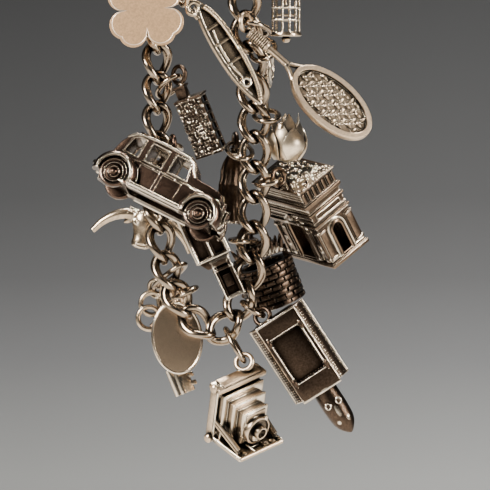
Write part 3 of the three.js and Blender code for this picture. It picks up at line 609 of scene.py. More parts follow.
link = bmesh.new()
oval_wire(link, LINK_LONG / 2, LINK_WIDTH / 2, WIRE, 40, 14, twist=LINK_TWIST)
places = []
for each in LINKS:
    turn = Matrix((each["long"], each["wide"], each["face"])).transposed().to_euler("XYZ")
    places.append((each["centre"], [math.degrees(a) for a in turn], 1.0))
chain = bmesh.new()
set_out(chain, link, places, WIRE_FINISH)
chain_piece = finished("bent_curb_chain", chain, "curb_chain", WIRE_FINISH)
print("triangles in the chain:", triangles(chain_piece))

# %% [markdown]
# ## The closing ring
# The top of the loop isn't in the picture. A plain round ring closes it there, as such bracelets
# often have, and it is what the bracelet hangs by. It is bent from thinner wire than the links.

# %% The closing ring
ring = bmesh.new()
oval_wire(ring, CLASP_RADIUS, CLASP_RADIUS, CLASP_WIRE, 64, 16,
          place=Matrix.Translation(clasp_centre) @ turned_by((90, 0, 0)))
finished("bent_closing_ring", ring, "closing_ring", WIRE_FINISH)
print("inner width of the closing ring in mm:", 2 * CLASP_RADIUS - CLASP_WIRE)

# %% [markdown]
# ## The charms
# Every charm is modelled in its own frame, X across, Z up and its face towards the viewer, the way
# a carver holds the wax. The clover is the simplest: four hearts of sheet round a middle, left
# plain and matt, with a fine raised rim.

# %% Clover
def clover(form, finish):
    lobe, reach, offset, heart, thick = 2.2, 3.55, 2.2, 3.1, 1.2
    away, lean = math.hypot(offset, reach), math.atan2(offset, reach)
    middles = [Vector((away * math.cos(a), away * math.sin(a)))
               for q in range(4) for a in (q * TURN / 4 - lean, q * TURN / 4 + lean)]
    outline = []
    for i in range(160):
        way = Vector((math.cos(TURN * i / 160), math.sin(TURN * i / 160)))
        reaches = [heart]
        for middle in middles:
            ahead, aside = middle.dot(way), abs(middle.x * way.y - middle.y * way.x)
            if aside < lobe:
                reaches.append(ahead + math.sqrt(lobe ** 2 - aside ** 2))
        outline.append(way * max(reaches))
    plate(form, outline, thick, edge=0.3, steps=3)
    thread(form, at_depth([p * 0.93 for p in outline], -thick / 2), 0.07, sides=6, closed=True)


# %% [markdown]
# ## The saloon car
# The car is the largest casting, so its form is built as a coachbuilder would: a body with windows
# cut right through, door frames and a belt line laid on, then wings over turned wheels with stepped
# hub caps. The lines laid on stand out, so they are what the polishing rubs bright.

# %% Saloon car
def car_wheel(form, x, y):
    out = -1 if y < 1 else 1
    pairs = [(0, -0.55), (1.95, -0.6), (2.2, -0.55), (2.35, -0.35), (2.35, 0.35), (2.2, 0.62),
             (1.98, 0.68), (1.86, 0.5), (1.7, 0.36), (1.6, 0.52), (1.46, 0.52), (1.38, 0.3),
             (1.08, 0.34), (1.0, 0.62), (0.86, 0.72), (0.66, 0.55), (0.5, 0.6), (0.38, 0.8),
             (0.2, 0.88), (0, 0.9)]
    lathe(form, pairs, 40, (x, y, 0), (0, out, 0))


def car_wing(form, x, y, side):
    rings = []
    for i in range(37):
        angle = math.radians(-14 + 208 * i / 36)
        radial = Vector((math.cos(angle), 0, math.sin(angle)))
        across = Vector((0, 1, 0))
        section = [(2.5, 0.2), (2.5, -0.95), (2.75, -1.2), (3.1, -1.05), (3.45, -0.5), (3.62, 0.2),
                   (3.5, 1.1), (2.6, 1.1)]
        rings.append([Vector((x, y, 0)) + radial * r + across * d * -side for r, d in section])
    loft(form, rings)
    arc = [(x + 2.72 * math.cos(a), y + side * 1.15, 2.72 * math.sin(a))
           for a in (math.radians(-16 + 212 * i / 36) for i in range(37))]
    thread(form, arc, 0.2, sides=8)


def saloon_car(form, finish):
    half, body, roof, bonnet, rear, nose, sill = 7.55, 5.0, 7.6, 4.7, 9.6, 9.4, 1.0
    far = body + 1.14
    middle = far / 2
    top, low = roof - 0.6, roof - 3.7
    profile = [(-rear, -sill), (nose, -sill), (nose, bonnet - 0.9), (nose - 0.3, bonnet - 0.3),
               (nose - 0.9, bonnet), (6.6, bonnet + 0.25), (4.2, bonnet + 0.3), (3.1, roof - 0.5),
               (2.5, roof - 0.1), (1.6, roof), (-2.4, roof + 0.2), (-6.4, roof), (-7.6, roof - 0.35),
               (-8.5, roof - 1.1), (-9.2, roof - 2.4), (-rear, 3.6), (-rear - 0.2, 2.0)]
    windows = [[(-8.2, low), (-5.7, low), (-5.7, top), (-6.9, top), (-7.7, top - 0.5)],
               rectangle(-3.0, (low + top) / 2, 3.0, top - low),
               [(-0.3, low), (3.0, low), (2.5, top - 0.1), (2.2, top), (-0.3, top)]]
    plate(form, profile, body, middle, windows, edge=0.28, steps=3)
    carve(form, single(block, (10.4, body - 1.2, 4.6), (0, middle, -sill), edge=0))
    block(form, (9.6, body - 0.5, 0.9), (-2.6, middle, roof - 0.05), edge=0.42)
    for side in (-1, 1):
        y = middle + side * body / 2
        for outline in windows:
            frame_line(form, outline, 0.2, y)
        for x, wide in ((-3.0, 3.3), (0.9, 3.4)):
            frame_line(form, rectangle(x, 1.5, wide, 3.3), 0.07, y)
            block(form, (0.9, 0.35, 0.25), (x + wide / 2 - 0.8, y + side * 0.2, 3.3), edge=0.1)
        thread(form, at_depth([(-9.4, 3.3), (-4, 3.45), (3.6, 3.5), (9.1, 3.4)], y), 0.09)
        thread(form, at_depth([(-8.7, 6.2), (-7.6, 7.15), (-6.4, 7.5), (-2.4, 7.7), (1.7, 7.45),
                               (2.7, 7.1), (3.3, 5.9), (4.0, 5.1)], y), 0.2)
        slit = single(block, (0.28, 0.3, 1.5), turn=(0, 22, 0), edge=0.1)
        set_out(form, slit, upright_at([(5.0 + 0.62 * i, y, 2.4) for i in range(5)]), finish)
        block(form, (4.6, 0.3, 0.3), (6.3, y, 3.35), edge=0.12)
    thread(form, [(4.1, middle, bonnet + 0.35), (6.8, middle, bonnet + 0.32), (nose - 0.7, middle, bonnet),
                  (nose + 0.1, middle, bonnet - 1.2)], 0.28)
    block(form, (0.5, 2.9, 3.4), (nose + 0.1, middle, 1.9), edge=0.2)
    bar = single(block, (0.3, 0.22, 3.0), edge=0.08)
    set_out(form, bar, upright_at([(nose + 0.4, middle + 0.42 * (i - 3), 1.9) for i in range(7)]), finish)
    for side in (-1, 1):
        y = middle + side * body * 0.38
        lamp = [(0, -1.2), (0.45, -1.0), (0.8, -0.2), (0.88, 0.2), (0.98, 0.3), (0.98, 0.45),
                (0.8, 0.5), (0.62, 0.42), (0.5, 0.62), (0, 0.78)]
        lathe(form, lamp, 24, (nose + 0.5, y, 2.7), (1, 0, 0))
        block(form, (0.6, 0.6, 1.6), (nose - 0.4, y, 1.7), edge=0.15)
    for end in (-rear - 1.5, nose + 1.2):
        way = 1 if end > 0 else -1
        line = [(end - way * 1.1, middle - 3.5, 0.2), (end - way * 0.2, middle - 3.1, 0.2),
                (end, middle - 2.0, 0.2), (end, middle + 2.0, 0.2),
                (end - way * 0.2, middle + 3.1, 0.2), (end - way * 1.1, middle + 3.5, 0.2)]
        thread(form, flowing(line, 4), 0.46, sides=10)
        for side in (-1, 1):
            block(form, (2.2, 0.55, 0.6), (end - way * 1.0, middle + side * 1.1, 0.1), edge=0.15)
            ball(form, 0.62, (end + way * 0.05, middle + side * 1.1, 0.3), (0.8, 0.8, 1.2))
    for y in (-0.1, far + 0.1):
        block(form, (12.4, 1.3, 0.4), (0, y, -sill + 0.2), edge=0.14)
    for y in (-0.75, far + 0.75):
        thread(form, [(-4.6, y, -0.5), (4.6, y, -0.5)], 0.3)
        thread(form, [(-4.6, y * 0.96 + 0.12, -1.0), (4.6, y * 0.96 + 0.12, -1.0)], 0.16)
    for x in (-half, half):
        for y, side in ((0, -1), (far, 1)):
            car_wheel(form, x, y)
            car_wing(form, x, y, side)
        plate(form, oval(3.2, 3.2, 24, (x, 0), 0, 180), 0.5, 0.95, edge=0)
        plate(form, oval(3.2, 3.2, 24, (x, 0), 0, 180), 0.5, far - 0.95, edge=0)


# %% [markdown]
# ## The tower block, the boat and the racket
# The tower's front is crusted like rough stone, and its side is an open ladder of storeys. The
# narrow boat has a twisted rope along its gunwale. The racket's strings are a raised basket weave:
# short strips laid crosswise, which the copies tree sets out inside the oval.

# %% Tower block
def tower_block(form, finish):
    wide, deep, high = 4.3, 2.6, 9.6
    block(form, (wide - 0.7, deep, high), (-0.35, 0, 0), edge=0.2)
    for side in (-1, 1):
        block(form, (0.55, 0.5, high), (wide / 2 - 0.25, side * (deep / 2 - 0.25), 0), edge=0.15)
    for row in range(7):
        storey = -high / 2 + 0.3 + row * (high - 0.6) / 6
        block(form, (0.6, deep, 0.45), (wide / 2 - 0.25, 0, storey), edge=0.14)
    for z in (-high / 2 + 0.2, high / 2 - 0.2):
        block(form, (wide + 0.4, deep + 0.4, 0.4), (0, 0, z), edge=0.14)
    block(form, (1.7, 1.7, 2.0), (-0.86, 0, high / 2 + 1.0), edge=0.3)
    block(form, (2.1, 2.1, 0.4), (-0.86, 0, high / 2 + 1.9), edge=0.16)
    chance = random.Random(5)
    crumbs = []
    for row in range(17):
        for column in range(8):
            x = -wide / 2 + 0.25 + column * 0.5 + chance.uniform(-0.12, 0.12)
            z = -high / 2 + 0.5 + row * 0.54 + chance.uniform(-0.12, 0.12)
            size = tuple(chance.uniform(0.45, 1.0) for _ in range(3))
            crumbs.append(((x, -deep / 2, z), (chance.uniform(0, 180),) * 3, size))
            if column < 5:
                at = (-wide / 2, -deep / 2 + 0.2 + column * 0.5, z)
                crumbs.append((at, (0, chance.uniform(0, 90), 0), size))
    crumb = single(ball, 0.3, (0, 0, 0), around=8)
    set_out(form, crumb, crumbs, finish, wander=0.06, seed=3)


# %% Slender boat
ROPE_PITCH = 0.42


def rope(form, points, radius, finish):
    """A twisted cord: slanted strands set out close together along a line."""
    strand = single(ball, 1.0, (0, 0, 0), (radius * 1.05, radius * 0.5, radius * 1.05), around=12)
    places = []
    spare = 0.0
    for a, b in zip(points, points[1:]):
        way = Vector(b) - Vector(a)
        done = spare
        while done < way.length:
            tilt = way.normalized().to_track_quat("Y", "Z").to_matrix() @ Euler((0.0, 0.0, 0.6)).to_matrix()
            places.append((Vector(a) + way.normalized() * done,
                           [math.degrees(v) for v in tilt.to_euler("XYZ")], 1.0))
            done += ROPE_PITCH * radius * 2
        spare = done - way.length
    set_out(form, strand, places, finish)


def slender_boat(form, finish):
    half, wide, thick = 9.1, 3.3, 1.7
    right = [(0, 0, -half), (wide * 0.3, 0, -half * 0.72), (wide / 2, 0, -half * 0.25),
             (wide / 2, 0, half * 0.3), (wide * 0.36, 0, half * 0.7), (0.1, 0, half)]
    left = [(0, 0, -half), (-wide * 0.25, 0, -half * 0.75), (-wide * 0.46, 0, -half * 0.35),
            (-wide / 2, 0, half * 0.2), (-wide * 0.36, 0, half * 0.7), (-0.5, 0, half)]
    right, left = flowing(right, 7), flowing(left, 7)
    outline = [(p.x, p.z) for p in right] + [(p.x, p.z) for p in left[:0:-1]]
    plate(form, outline, thick * 0.5, thick * 0.22, edge=0.2)
    front = -thick / 2
    thread(form, [p + Vector((0.05, 0.3, 0)) for p in left], 0.42, sides=10)
    thread(form, [p + Vector((-0.05, 0.35, 0)) for p in right], 0.46, sides=10)
    rope(form, [p + Vector((-0.12, front + 0.35, 0)) for p in right[2:-2]], 0.42, finish)
    thread(form, [p * 0.55 + Vector((0.1, front + 0.75, 0)) for p in left[3:-3]], 0.2)
    for z in (-4.4, -1.2, 2.2, 5.0):
        block(form, (wide * 0.75, 0.5, 0.5), (0, front + 0.75, z), edge=0.14)
    eyelet = at_depth(oval(0.62, 0.62, 20, (-0.35, -5.1)), front + 0.1)
    thread(form, eyelet, 0.26, sides=8, closed=True)
    curl = [(0.1, 0, half - 0.2), (-0.6, 0, half + 0.7), (-1.7, 0, half + 0.6), (-2.1, 0, half - 0.3),
            (-1.5, 0, half - 1.0), (-0.8, 0, half - 0.6), (-1.0, 0, half - 0.1)]
    thread(form, flowing(curl, 6), [0.45] * 12 + [0.4] * 12 + [0.3] * 13, sides=10)


# %% Tennis racket
def tennis_racket(form, finish):
    across, along, rim, thick = 4.4, 7.5, 0.95, 1.3
    section = [(-0.5, -0.38), (-0.38, -0.5), (0.38, -0.5), (0.5, -0.38), (0.5, 0.38), (0.38, 0.5),
               (-0.38, 0.5), (-0.5, 0.38)]
    rings = []
    for i in range(72):
        a = TURN * i / 72
        middle = Vector(((across - rim / 2) * math.cos(a), 0, (along - rim / 2) * math.sin(a)))
        out = Vector((along * math.cos(a), 0, across * math.sin(a))).normalized()
        rings.append([middle + out * u * rim + Vector((0, v * thick, 0)) for u, v in section])
    loft(form, rings, closed=True)
    plate(form, oval(across - rim / 2, along - rim / 2, 56), 0.3, edge=0)
    strip = single(ball, 1.0, (0, 0, 0), (0.84, 0.55, 0.36), around=12)
    places = []
    for row in range(-6, 7):
        for column in range(-3, 4):
            x, z = column * 1.24, row * 1.1
            if (x / (across - rim)) ** 2 + (z / (along - rim)) ** 2 < 0.93:
                places.append(((x, 0, z), (0, 100 if (row + column) % 2 else 10, 0), 1.0))
    set_out(form, strip, places, finish, wander=0.03, seed=8)
    top, handle, grip = along - rim / 2, 9.5, 3.6
    for side in (-1, 1):
        fork = [(side * 1.5, 0, top - 0.25), (side * 0.7, 0, top + 0.9), (side * 0.15, 0, top + 2.1)]
        thread(form, flowing(fork, 6), 0.42, sides=10)
    thread(form, [(0, 0, top + 1.6), (0, 0, top + handle - grip)], 0.52, sides=14)
    pairs = [(0, 0), (0.72, 0.02), (0.78, 0.2)]
    for i in range(9):
        z = 0.3 + i * 0.36
        pairs += [(0.8, z), (0.93, z + 0.09), (0.93, z + 0.2), (0.8, z + 0.3)]
    pairs += [(1.0, grip - 0.1), (1.0, grip + 0.12), (0.7, grip + 0.25), (0, grip + 0.3)]
    lathe(form, pairs, 20, (0, 0, top + handle - grip))


# %% [markdown]
# ## The lotus bud
# The bud is a turned core with petals pressed round it in three rows, the outer ones shorter. Each
# petal is a cupped leaf with a thick root and a thin tip that curls out a little. One petal of each
# row is modelled and set out in turns.

# %% Lotus bud
def petal(high, half_turn, spread, curl):
    """A cupped leaf lying on a bud of the given spread."""
    form = bmesh.new()
    rings = []
    for i in range(13):
        t = i / 12
        z = -high * 0.42 + high * 0.92 * t
        bulge = spread * (0.45 + 0.62 * math.sin(math.pi * min(1, 0.12 + t * 0.78))) + curl * t ** 4
        width = math.radians(half_turn) * math.sin(math.pi * (0.16 + 0.84 * t)) ** 0.7 + 0.015
        thick = 0.34 * (1 - 0.65 * t)
        outer = [(bulge * math.sin(width * u / 4), -bulge * math.cos(width * u / 4), z) for u in range(-4, 5)]
        inner = [((bulge - thick) * math.sin(width * u / 4), -(bulge - thick) * math.cos(width * u / 4), z)
                 for u in range(4, -5, -1)]
        rings.append(outer + inner)
    loft(form, rings)
    return form


def lotus_bud(form, finish):
    lathe(form, [(0, -3.8), (1.4, -3.4), (1.9, -1.8), (1.9, 0), (1.5, 1.7), (0.8, 2.9), (0, 3.4)], 24)
    rows = ((petal(7.4, 38, 1.95, 0.6), 4, 8, 0.1), (petal(6.3, 38, 2.45, 0.6), 4, -28, -0.5),
            (petal(5.4, 36, 2.95, 0.8), 4, 24, -1.1))
    for model, count, start, lift in rows:
        places = [((0, 0, lift), (0, 0, start + i * 360 / count), 1.0) for i in range(count)]
        set_out(form, model, places, finish)


# %% [markdown]
# ## The triumphal arch
# The arch is a block carved through both ways, a tall opening one way and a small one the other. Each
# opening is cut by itself, because two cutters that cross leave a broken skin. It is then dressed:
# stepped cornices, dentils, pilasters, mouldings round the openings, posts in the attic and a roof
# of small grains, which stand for a relief that is too worn to read.

# %% Triumphal arch
def arch_line(wide, high):
    """Up one side of an opening, round its head and down the other."""
    return [(wide / 2, 0), *oval(wide / 2, wide / 2, 20, (0, high - wide / 2), 0, 180), (-wide / 2, 0)]


def archway(form, wide, high, bottom, turn):
    """A cutter for an opening that goes right through."""
    plate(form, arch_line(wide, high)[1:-1] + [(-wide / 2, -0.5), (wide / 2, -0.5)], 40, edge=0,
          place=Matrix.Translation((0, 0, bottom)) @ turned_by((0, 0, turn)))


def arch_moulding(form, wide, high, y, bottom, turn, radius):
    thread(form, at_depth(arch_line(wide, high), y), radius, sides=8,
           place=Matrix.Translation((0, 0, bottom)) @ turned_by((0, 0, turn)))


def triumphal_arch(form, finish):
    wide, deep, high, base, ledge = 12.4, 7.7, 14.8, 1.1, 0.5
    floor = -high / 2 + base
    attic = high / 2 - 2.6
    block(form, (wide - 2 * ledge, deep - 2 * ledge, high - base), (0, 0, base / 2), edge=0)
    for door_wide, door_high, turn in ((4.2, 7.6, 0), (2.2, 5.6, 90)):
        carve(form, single(archway, door_wide, door_high, floor, turn))
    for z, spare, thick in ((floor - base / 2, 0, 0.6), (floor - 0.25, 0.35, 0.5), (floor + 0.15, 0.7, 0.3)):
        block(form, (wide - spare, deep - spare, thick), (0, 0, z), edge=0.15)
    bands = ((high / 2 - 0.15, 0, 0.3), (high / 2 - 0.45, 0.4, 0.3), (attic - 0.05, 0.5, 0.2),
             (attic - 0.4, 0, 0.5), (attic - 0.8, 0.35, 0.25), (attic - 1.75, 0.6, 0.2),
             (attic - 2.1, 0.3, 0.35), (attic - 3.6, 0.6, 0.2), (attic - 4.3, 0.3, 0.35),
             (attic - 4.65, 0.6, 0.2))
    for z, spare, thick in bands:
        block(form, (wide - spare, deep - spare, thick), (0, 0, z), edge=0.09)
    for y in (-1, 1):
        face = y * (deep / 2 - ledge)
        arch_moulding(form, 4.2, 7.6, face, floor, 0, 0.38)
        arch_moulding(form, 5.3, 8.2, face, floor, 0, 0.2)
        for x in (-1, 1):
            for place in (wide / 2 - 0.95, wide / 2 - 3.0):
                for size, up in (((0.6, 0.45, 5.4), 3.0), ((0.9, 0.65, 0.4), 5.6), ((0.9, 0.65, 0.6), 0.5)):
                    block(form, size, (x * place, face + y * 0.1, floor + up), edge=0.14)
            block(form, (1.5, 0.35, 2.6), (x * (wide / 2 - 1.97), face, floor + 2.2), edge=0.22)
            ball(form, 0.5, (x * (wide / 2 - 1.97), face + y * 0.1, floor + 2.4), (1, 0.6, 1.6))
        for z in (high / 2 - 0.9, high / 2 - 1.4, high / 2 - 1.9, attic - 1.3, attic - 2.9):
            thread(form, [(-wide / 2 + ledge, face, z), (wide / 2 - ledge, face, z)], 0.15, sides=8)
        block(form, (0.9, 0.6, 1.2), (0, face + y * 0.15, floor + 7.9), edge=0.2)
    for x in (-1, 1):
        face = x * (wide / 2 - ledge)
        arch_moulding(form, 2.2, 5.6, -face, floor, 90, 0.34)
        arch_moulding(form, 3.3, 6.2, -face, floor, 90, 0.2)
        for y in (-1, 1):
            for size, up, edge in (((0.5, 1.1, 5.4), 3.0, 0.2), ((0.7, 1.4, 0.4), 5.6, 0.12),
                                   ((0.7, 1.4, 0.5), 0.6, 0.12)):
                block(form, size, (face + x * 0.05, y * (deep / 2 - 1.1), floor + up), edge=edge)
        panel = [(face + x * 0.1, a, z) for a, z in rectangle(0, attic - 2.95, 5.0, 0.9)]
        thread(form, panel, 0.15, closed=True, hint=(1, 0, 0))
    tooth = single(block, (0.3, 0.3, 0.3), edge=0.06)
    row = [((i - 10) * (wide - 1.2) / 20, y * (deep - 0.6) / 2, attic - 0.95)
           for i in range(21) for y in (-1, 1)]
    set_out(form, tooth, upright_at(row), finish)
    post = single(block, (0.8, 0.45, 1.8), edge=0.12)
    posts = [(x * (wide / 2 - ledge + 0.05), (i - 3) * 1.05, high / 2 - 1.5)
             for i in range(7) for x in (-1, 1)]
    set_out(form, post, upright_at(posts), finish)
    figures = single(ball, 0.34, (0, 0, 0), (1, 0.8, 1.2), around=8)
    chance = random.Random(12)
    carved = []
    for _ in range(190):
        at = (chance.uniform(-5.7, 5.7), chance.uniform(-3.4, 3.4), high / 2)
        turn = (0, 0, chance.uniform(0, 180))
        size = (chance.uniform(0.6, 1.3), chance.uniform(0.4, 0.9), chance.uniform(0.3, 0.7))
        carved.append((at, turn, size))
    for i in range(16):
        carved.append(((wide / 2 - 0.15, (i - 7.5) * 0.48, high / 2), (0, 0, 20 * i), 0.5))
    set_out(form, figures, carved, finish, wander=0.1, seed=12)


# %% [markdown]
# ## The wishing well
# The well is a ring of bricks in courses, each brick set a little off true, with a coping on top,
# two posts and a shingled roof whose ridges catch the polish.

# %% Wishing well
def wishing_well(form, finish):
    radius, high, inner = 4.3, 6.4, 3.4
    wall = [(inner, -2.2), (inner, 0), (radius - 0.25, 0), (radius - 0.1, -0.2), (radius - 0.1, -high + 0.1),
            (radius - 0.3, -high), (0, -high)]
    lathe(form, [(0, -2.2)] + wall, 48)
    brick = single(block, (1.36, 0.6, 0.66), edge=0.13)
    courses, around = 7, 18
    places = []
    for row in range(courses):
        for i in range(around):
            angle = TURN * (i + 0.5 * (row % 2)) / around
            z = -high + 0.5 + row * (high - 1.0) / (courses - 1)
            at = (radius * math.sin(angle), -radius * math.cos(angle), z)
            places.append((at, (0, 0, math.degrees(angle)), 1.0))
    set_out(form, brick, places, finish, wander=0.07, seed=21)
    cope = single(block, (1.2, 1.3, 0.5), edge=0.15)
    set_out(form, cope, [((3.95 * math.sin(a), -3.95 * math.cos(a), 0.15), (0, 0, math.degrees(a)), 1.0)
                         for a in angles(20)], finish, wander=0.05, seed=4)
    for side in (-1, 1):
        block(form, (0.9, 0.9, 2.6), (side * 3.85, 0, 1.0), edge=0.2)
    eave, rise = 4.1, 2.1
    gable = [(-eave, 1.5), (eave, 1.5), (eave * 0.58, 1.5 + rise), (-eave * 0.58, 1.5 + rise)]
    plate(form, gable, 3.4, edge=0.2)
    shingle = single(ball, 1.0, (0, 0, 0), (0.32, 0.34, 1.25), around=10)
    set_out(form, shingle, [(((i - 5) * 0.72, y * 1.6, 2.55), (-12 * y, 4 * (i - 5), 0), 1.0)
                            for i in range(11) for y in (-1, 1)], finish, wander=0.05, seed=6)
    thread(form, [(-eave * 0.6, 0, 1.5 + rise), (eave * 0.6, 0, 1.5 + rise)], 0.42)
    ball(form, 0.75, (-4.3, -1.6, 0.4), (1.3, 0.9, 0.7))
    pebbles = single(ball, 0.34, (0, 0, 0), around=8)
    chance = random.Random(9)
    spots = []
    for _ in range(16):
        angle, z = chance.uniform(-1.5, -0.9), chance.uniform(-5.6, -1.6)
        at = (4.6 * math.sin(angle), -4.6 * math.cos(angle), z)
        spots.append((at, (0, 0, 0), chance.uniform(0.7, 1.2)))
    set_out(form, pebbles, spots, finish)


# %% [markdown]
# ## The cart with an animal's head
# The block has a sunk panel with drops at its corners, a flap along each side and an animal's head
# reaching out below. The head is a loft of ovals, as a carver would thin a rod of wax towards the
# muzzle, with the eyes, the nostrils and the ridge of the nose pressed on.

# %% Animal cart
def animal_cart(form, finish):
    wide, long, thick = 6.8, 14.0, 3.6
    panel_wide, panel_long, recess = 5.4, 8.0, 1.1
    front = -thick / 2
    block(form, (wide, thick - recess, long), (0, recess / 2, 0), edge=0.25)
    panel = rectangle(0, 0.2, panel_wide, panel_long)
    plate(form, rectangle(0, 0, wide, long), recess + 0.1, front + recess / 2, [panel], edge=0.2)
    frame_line(form, rectangle(0, 0.2, panel_wide + 0.1, panel_long + 0.1), 0.13, front)
    bead = single(ball, 0.19, (0, 0, 0), around=8)
    dots = [(side * (panel_wide / 2 - 0.12), front + 0.62, -3.56 + i * 0.47)
            for i in range(17) for side in (-1, 1)]
    dots += [(-2.35 + i * 0.47, front + 0.62, z) for i in range(11) for z in (-3.66, 4.06)]
    set_out(form, bead, upright_at(dots), finish)
    for side in (-1, 1):
        reach = 1.7 if side > 0 else 1.0
        corners = [(0, -thick / 2), (side * reach * 0.6, -thick * 0.3), (side * reach, thick * 0.1),
                   (side * reach, thick / 2), (0, thick / 2)]
        half = long * 0.47
        ends = (-half + 0.2, half + 0.2)
        loft(form, [[(side * (wide / 2 - 0.05) + x, y, z) for x, y in corners] for z in ends])
        thread(form, [(side * (wide / 2 + reach), 0.4, z) for z in ends], 0.15)
        for z in ends:
            thread(form, [(side * (wide / 2 - 0.1), front, z), (side * (wide / 2 + reach), 0.4, z)], 0.14)
        groove = single(block, (reach * 1.2, 0.16, 0.12), edge=0.04)
        slope = math.degrees(math.atan2(thick * 0.6, reach))
        set_out(form, groove, [((side * (wide / 2 + reach * 0.5), front + thick * 0.27, -6.0 + i * 0.42),
                                (0, 0, side * slope), 1.0) for i in range(30)], finish, wander=0.04, seed=2)
        for z in (-1, 1):
            drop = [(side * (panel_wide / 2 + 0.1), front - 0.05, 0.2 + z * (panel_long / 2 + 0.5)),
                    (side * (panel_wide / 2 + 0.2), front - 0.15, 0.2 + z * (panel_long / 2 - 0.3)),
                    (side * (panel_wide / 2 + 0.3), front - 0.05, 0.2 + z * (panel_long / 2 - 1.1))]
            thread(form, flowing(drop, 3), [0.1, 0.22, 0.34, 0.42, 0.42, 0.3, 0.08], sides=10)
    thread(form, [(-wide / 2, front + 0.1, long / 2 - 0.2), (wide / 2, front + 0.1, long / 2 - 0.2)], 0.15)
    thread(form, [(-wide / 2, front + 0.1, -long / 2 + 0.3), (wide / 2, front + 0.1, -long / 2 + 0.2)], 0.15)
    neck, brow = -long / 2 + 0.5, -0.54
    stations = [(0.0, 1.9, 1.75, 0.0), (1.5, 1.95, 1.85, -0.15), (3.6, 1.95, 1.9, -0.4),
                (5.2, 1.85, 1.8, -0.55), (6.0, 1.72, 1.6, -0.6), (6.7, 1.45, 1.3, -0.7),
                (7.3, 1.05, 0.95, -0.8), (7.8, 0.6, 0.55, -0.85), (8.1, 0.2, 0.2, -0.85)]
    loft(form, [[(0.4 + w * math.cos(a), y + d * math.sin(a), neck - down) for a in angles(24)]
                for down, w, d, y in stations])
    for side in (-1, 1):
        eye, level = 0.4 + side * 0.95, neck - 2.7
        ball(form, 0.26, (eye, brow - 1.55, level), (1, 0.8, 1.2))
        lid = at_depth(oval(0.42, 0.48, 16, (eye, level)), brow - 1.62)
        thread(form, lid, 0.12, closed=True, sides=6)
        ball(form, 0.42, (0.45 + side * 0.7, brow - 1.2, neck - 5.7), (0.9, 0.8, 1.1))
    ball(form, 0.55, (0.4, brow - 1.3, neck - 4.2), (0.8, 0.8, 2.6))


# %% [markdown]
# ## The folding camera
# A folding camera of the bellows kind stands open: a back plate with its screws, three pleats that
# grow smaller, a bed that folds down on paired braces and a lens in stepped rings. The pleats are
# blocks with a flange at the front of each, because a cast bellows is solid.

# %% Folding camera
def screw(form, at, way, radius=0.5):
    lathe(form, [(0, -0.2), (radius, -0.15), (radius, 0.12), (radius * 0.7, 0.26), (0, 0.3)], 16, at, way)


def folding_camera(form, finish):
    wide, high, slab, step, shrink = 9.2, 10.8, 1.3, 1.5, 1.5
    block(form, (wide, slab, high), edge=0.22)
    frame_line(form, rectangle(0, 0, wide - 0.7, high - 0.7), 0.2, -slab / 2)
    frame_line(form, rectangle(0, 0, wide - 1.4, high - 1.6), 0.14, slab / 2)
    block(form, (wide + 0.5, slab + 1.3, 0.9), (0, -0.4, high / 2 - 0.45), edge=0.25)
    block(form, (wide - 1.6, slab + 0.7, 0.5), (0, -0.4, high / 2 + 0.1), edge=0.16)
    front = -slab / 2
    for fold in range(3):
        across, tall = wide - 1.4 - fold * shrink, high - 2.4 - fold * shrink
        z = -0.2 - fold * 0.35
        block(form, (across, step + 0.1, tall), (0, front - step / 2 + 0.05, z), edge=0.16)
        block(form, (across + 0.3, 0.4, tall + 0.3), (0, front - step + 0.25, z), edge=0.14)
        front -= step
    bed_long, bed = 6.8, -high / 2 + 0.7
    block(form, (wide - 0.4, bed_long, 0.55), (0, -slab / 2 - bed_long / 2 + 0.1, bed - 0.1), edge=0.18)
    for side in (-1, 1):
        rail = side * (wide / 2 - 0.35)
        thread(form, [(rail, -slab / 2, bed + 0.25), (rail, -7.2, bed + 0.25)], 0.3)
        thread(form, [(side * 1.1, -5.0, bed + 0.3), (side * 1.1, -7.2, bed + 0.3)], 0.2)
        screw(form, (side * 2.9, -6.6, bed + 0.25), (0, 0, 1), 0.55)
        for z in (-1, 1):
            screw(form, (side * (wide / 2 - 0.8), -slab / 2 - 0.1, z * (high / 2 - 1.7)), (0, -1, 0), 0.42)
    thread(form, [(-wide / 2 + 0.3, -7.3, bed + 0.1), (wide / 2 - 0.3, -7.3, bed + 0.1)], 0.36)
    lens = -1.5
    for side in (-1, 1):
        for lift in (0, 0.62):
            brace = [(side * (wide / 2 - 0.5), -0.7, -1.7 + lift),
                     (side * (wide / 2 - 0.8), -6.3, bed + 0.5 + lift)]
            thread(form, brace, 0.34, sides=8)
    block(form, (3.9, 0.4, 4.7), (0, front - 0.05, lens + 0.7), edge=0.15)
    rings = [(0, 0), (2.3, 0.0), (2.42, 0.8), (2.32, 1.0), (2.05, 1.04), (1.95, 0.78), (1.6, 0.7),
             (1.12, 0.74), (1.1, 1.75), (1.0, 1.95), (0.8, 1.93), (0.72, 1.6), (0.5, 1.42),
             (0.25, 1.5), (0, 1.52)]
    lathe(form, rings, 40, (0, front, lens), (0, -1, 0))
    block(form, (1.4, 1.2, 3.4), (0, front - 0.2, bed + 1.6), edge=0.2)
    ball(form, 0.42, (1.55, front - 0.7, lens + 1.75))
    for z in (high / 2 - 0.3, -high / 2 + 0.9):
        lathe(form, [(0, 0), (0.62, 0.1), (0.72, 0.3), (0.72, 0.6), (0.55, 0.8), (0, 0.85)], 18,
              (-wide / 2 + 0.1, -0.4, z), (-1, 0, 0))
    rib = single(block, (0.2, 0.5, 0.3), edge=0.06)
    ribs = [((i - 9) * 0.43, slab / 2 + 0.02, z) for i in range(19) for z in (-4.4, 4.1)]
    set_out(form, rib, upright_at(ribs), finish)


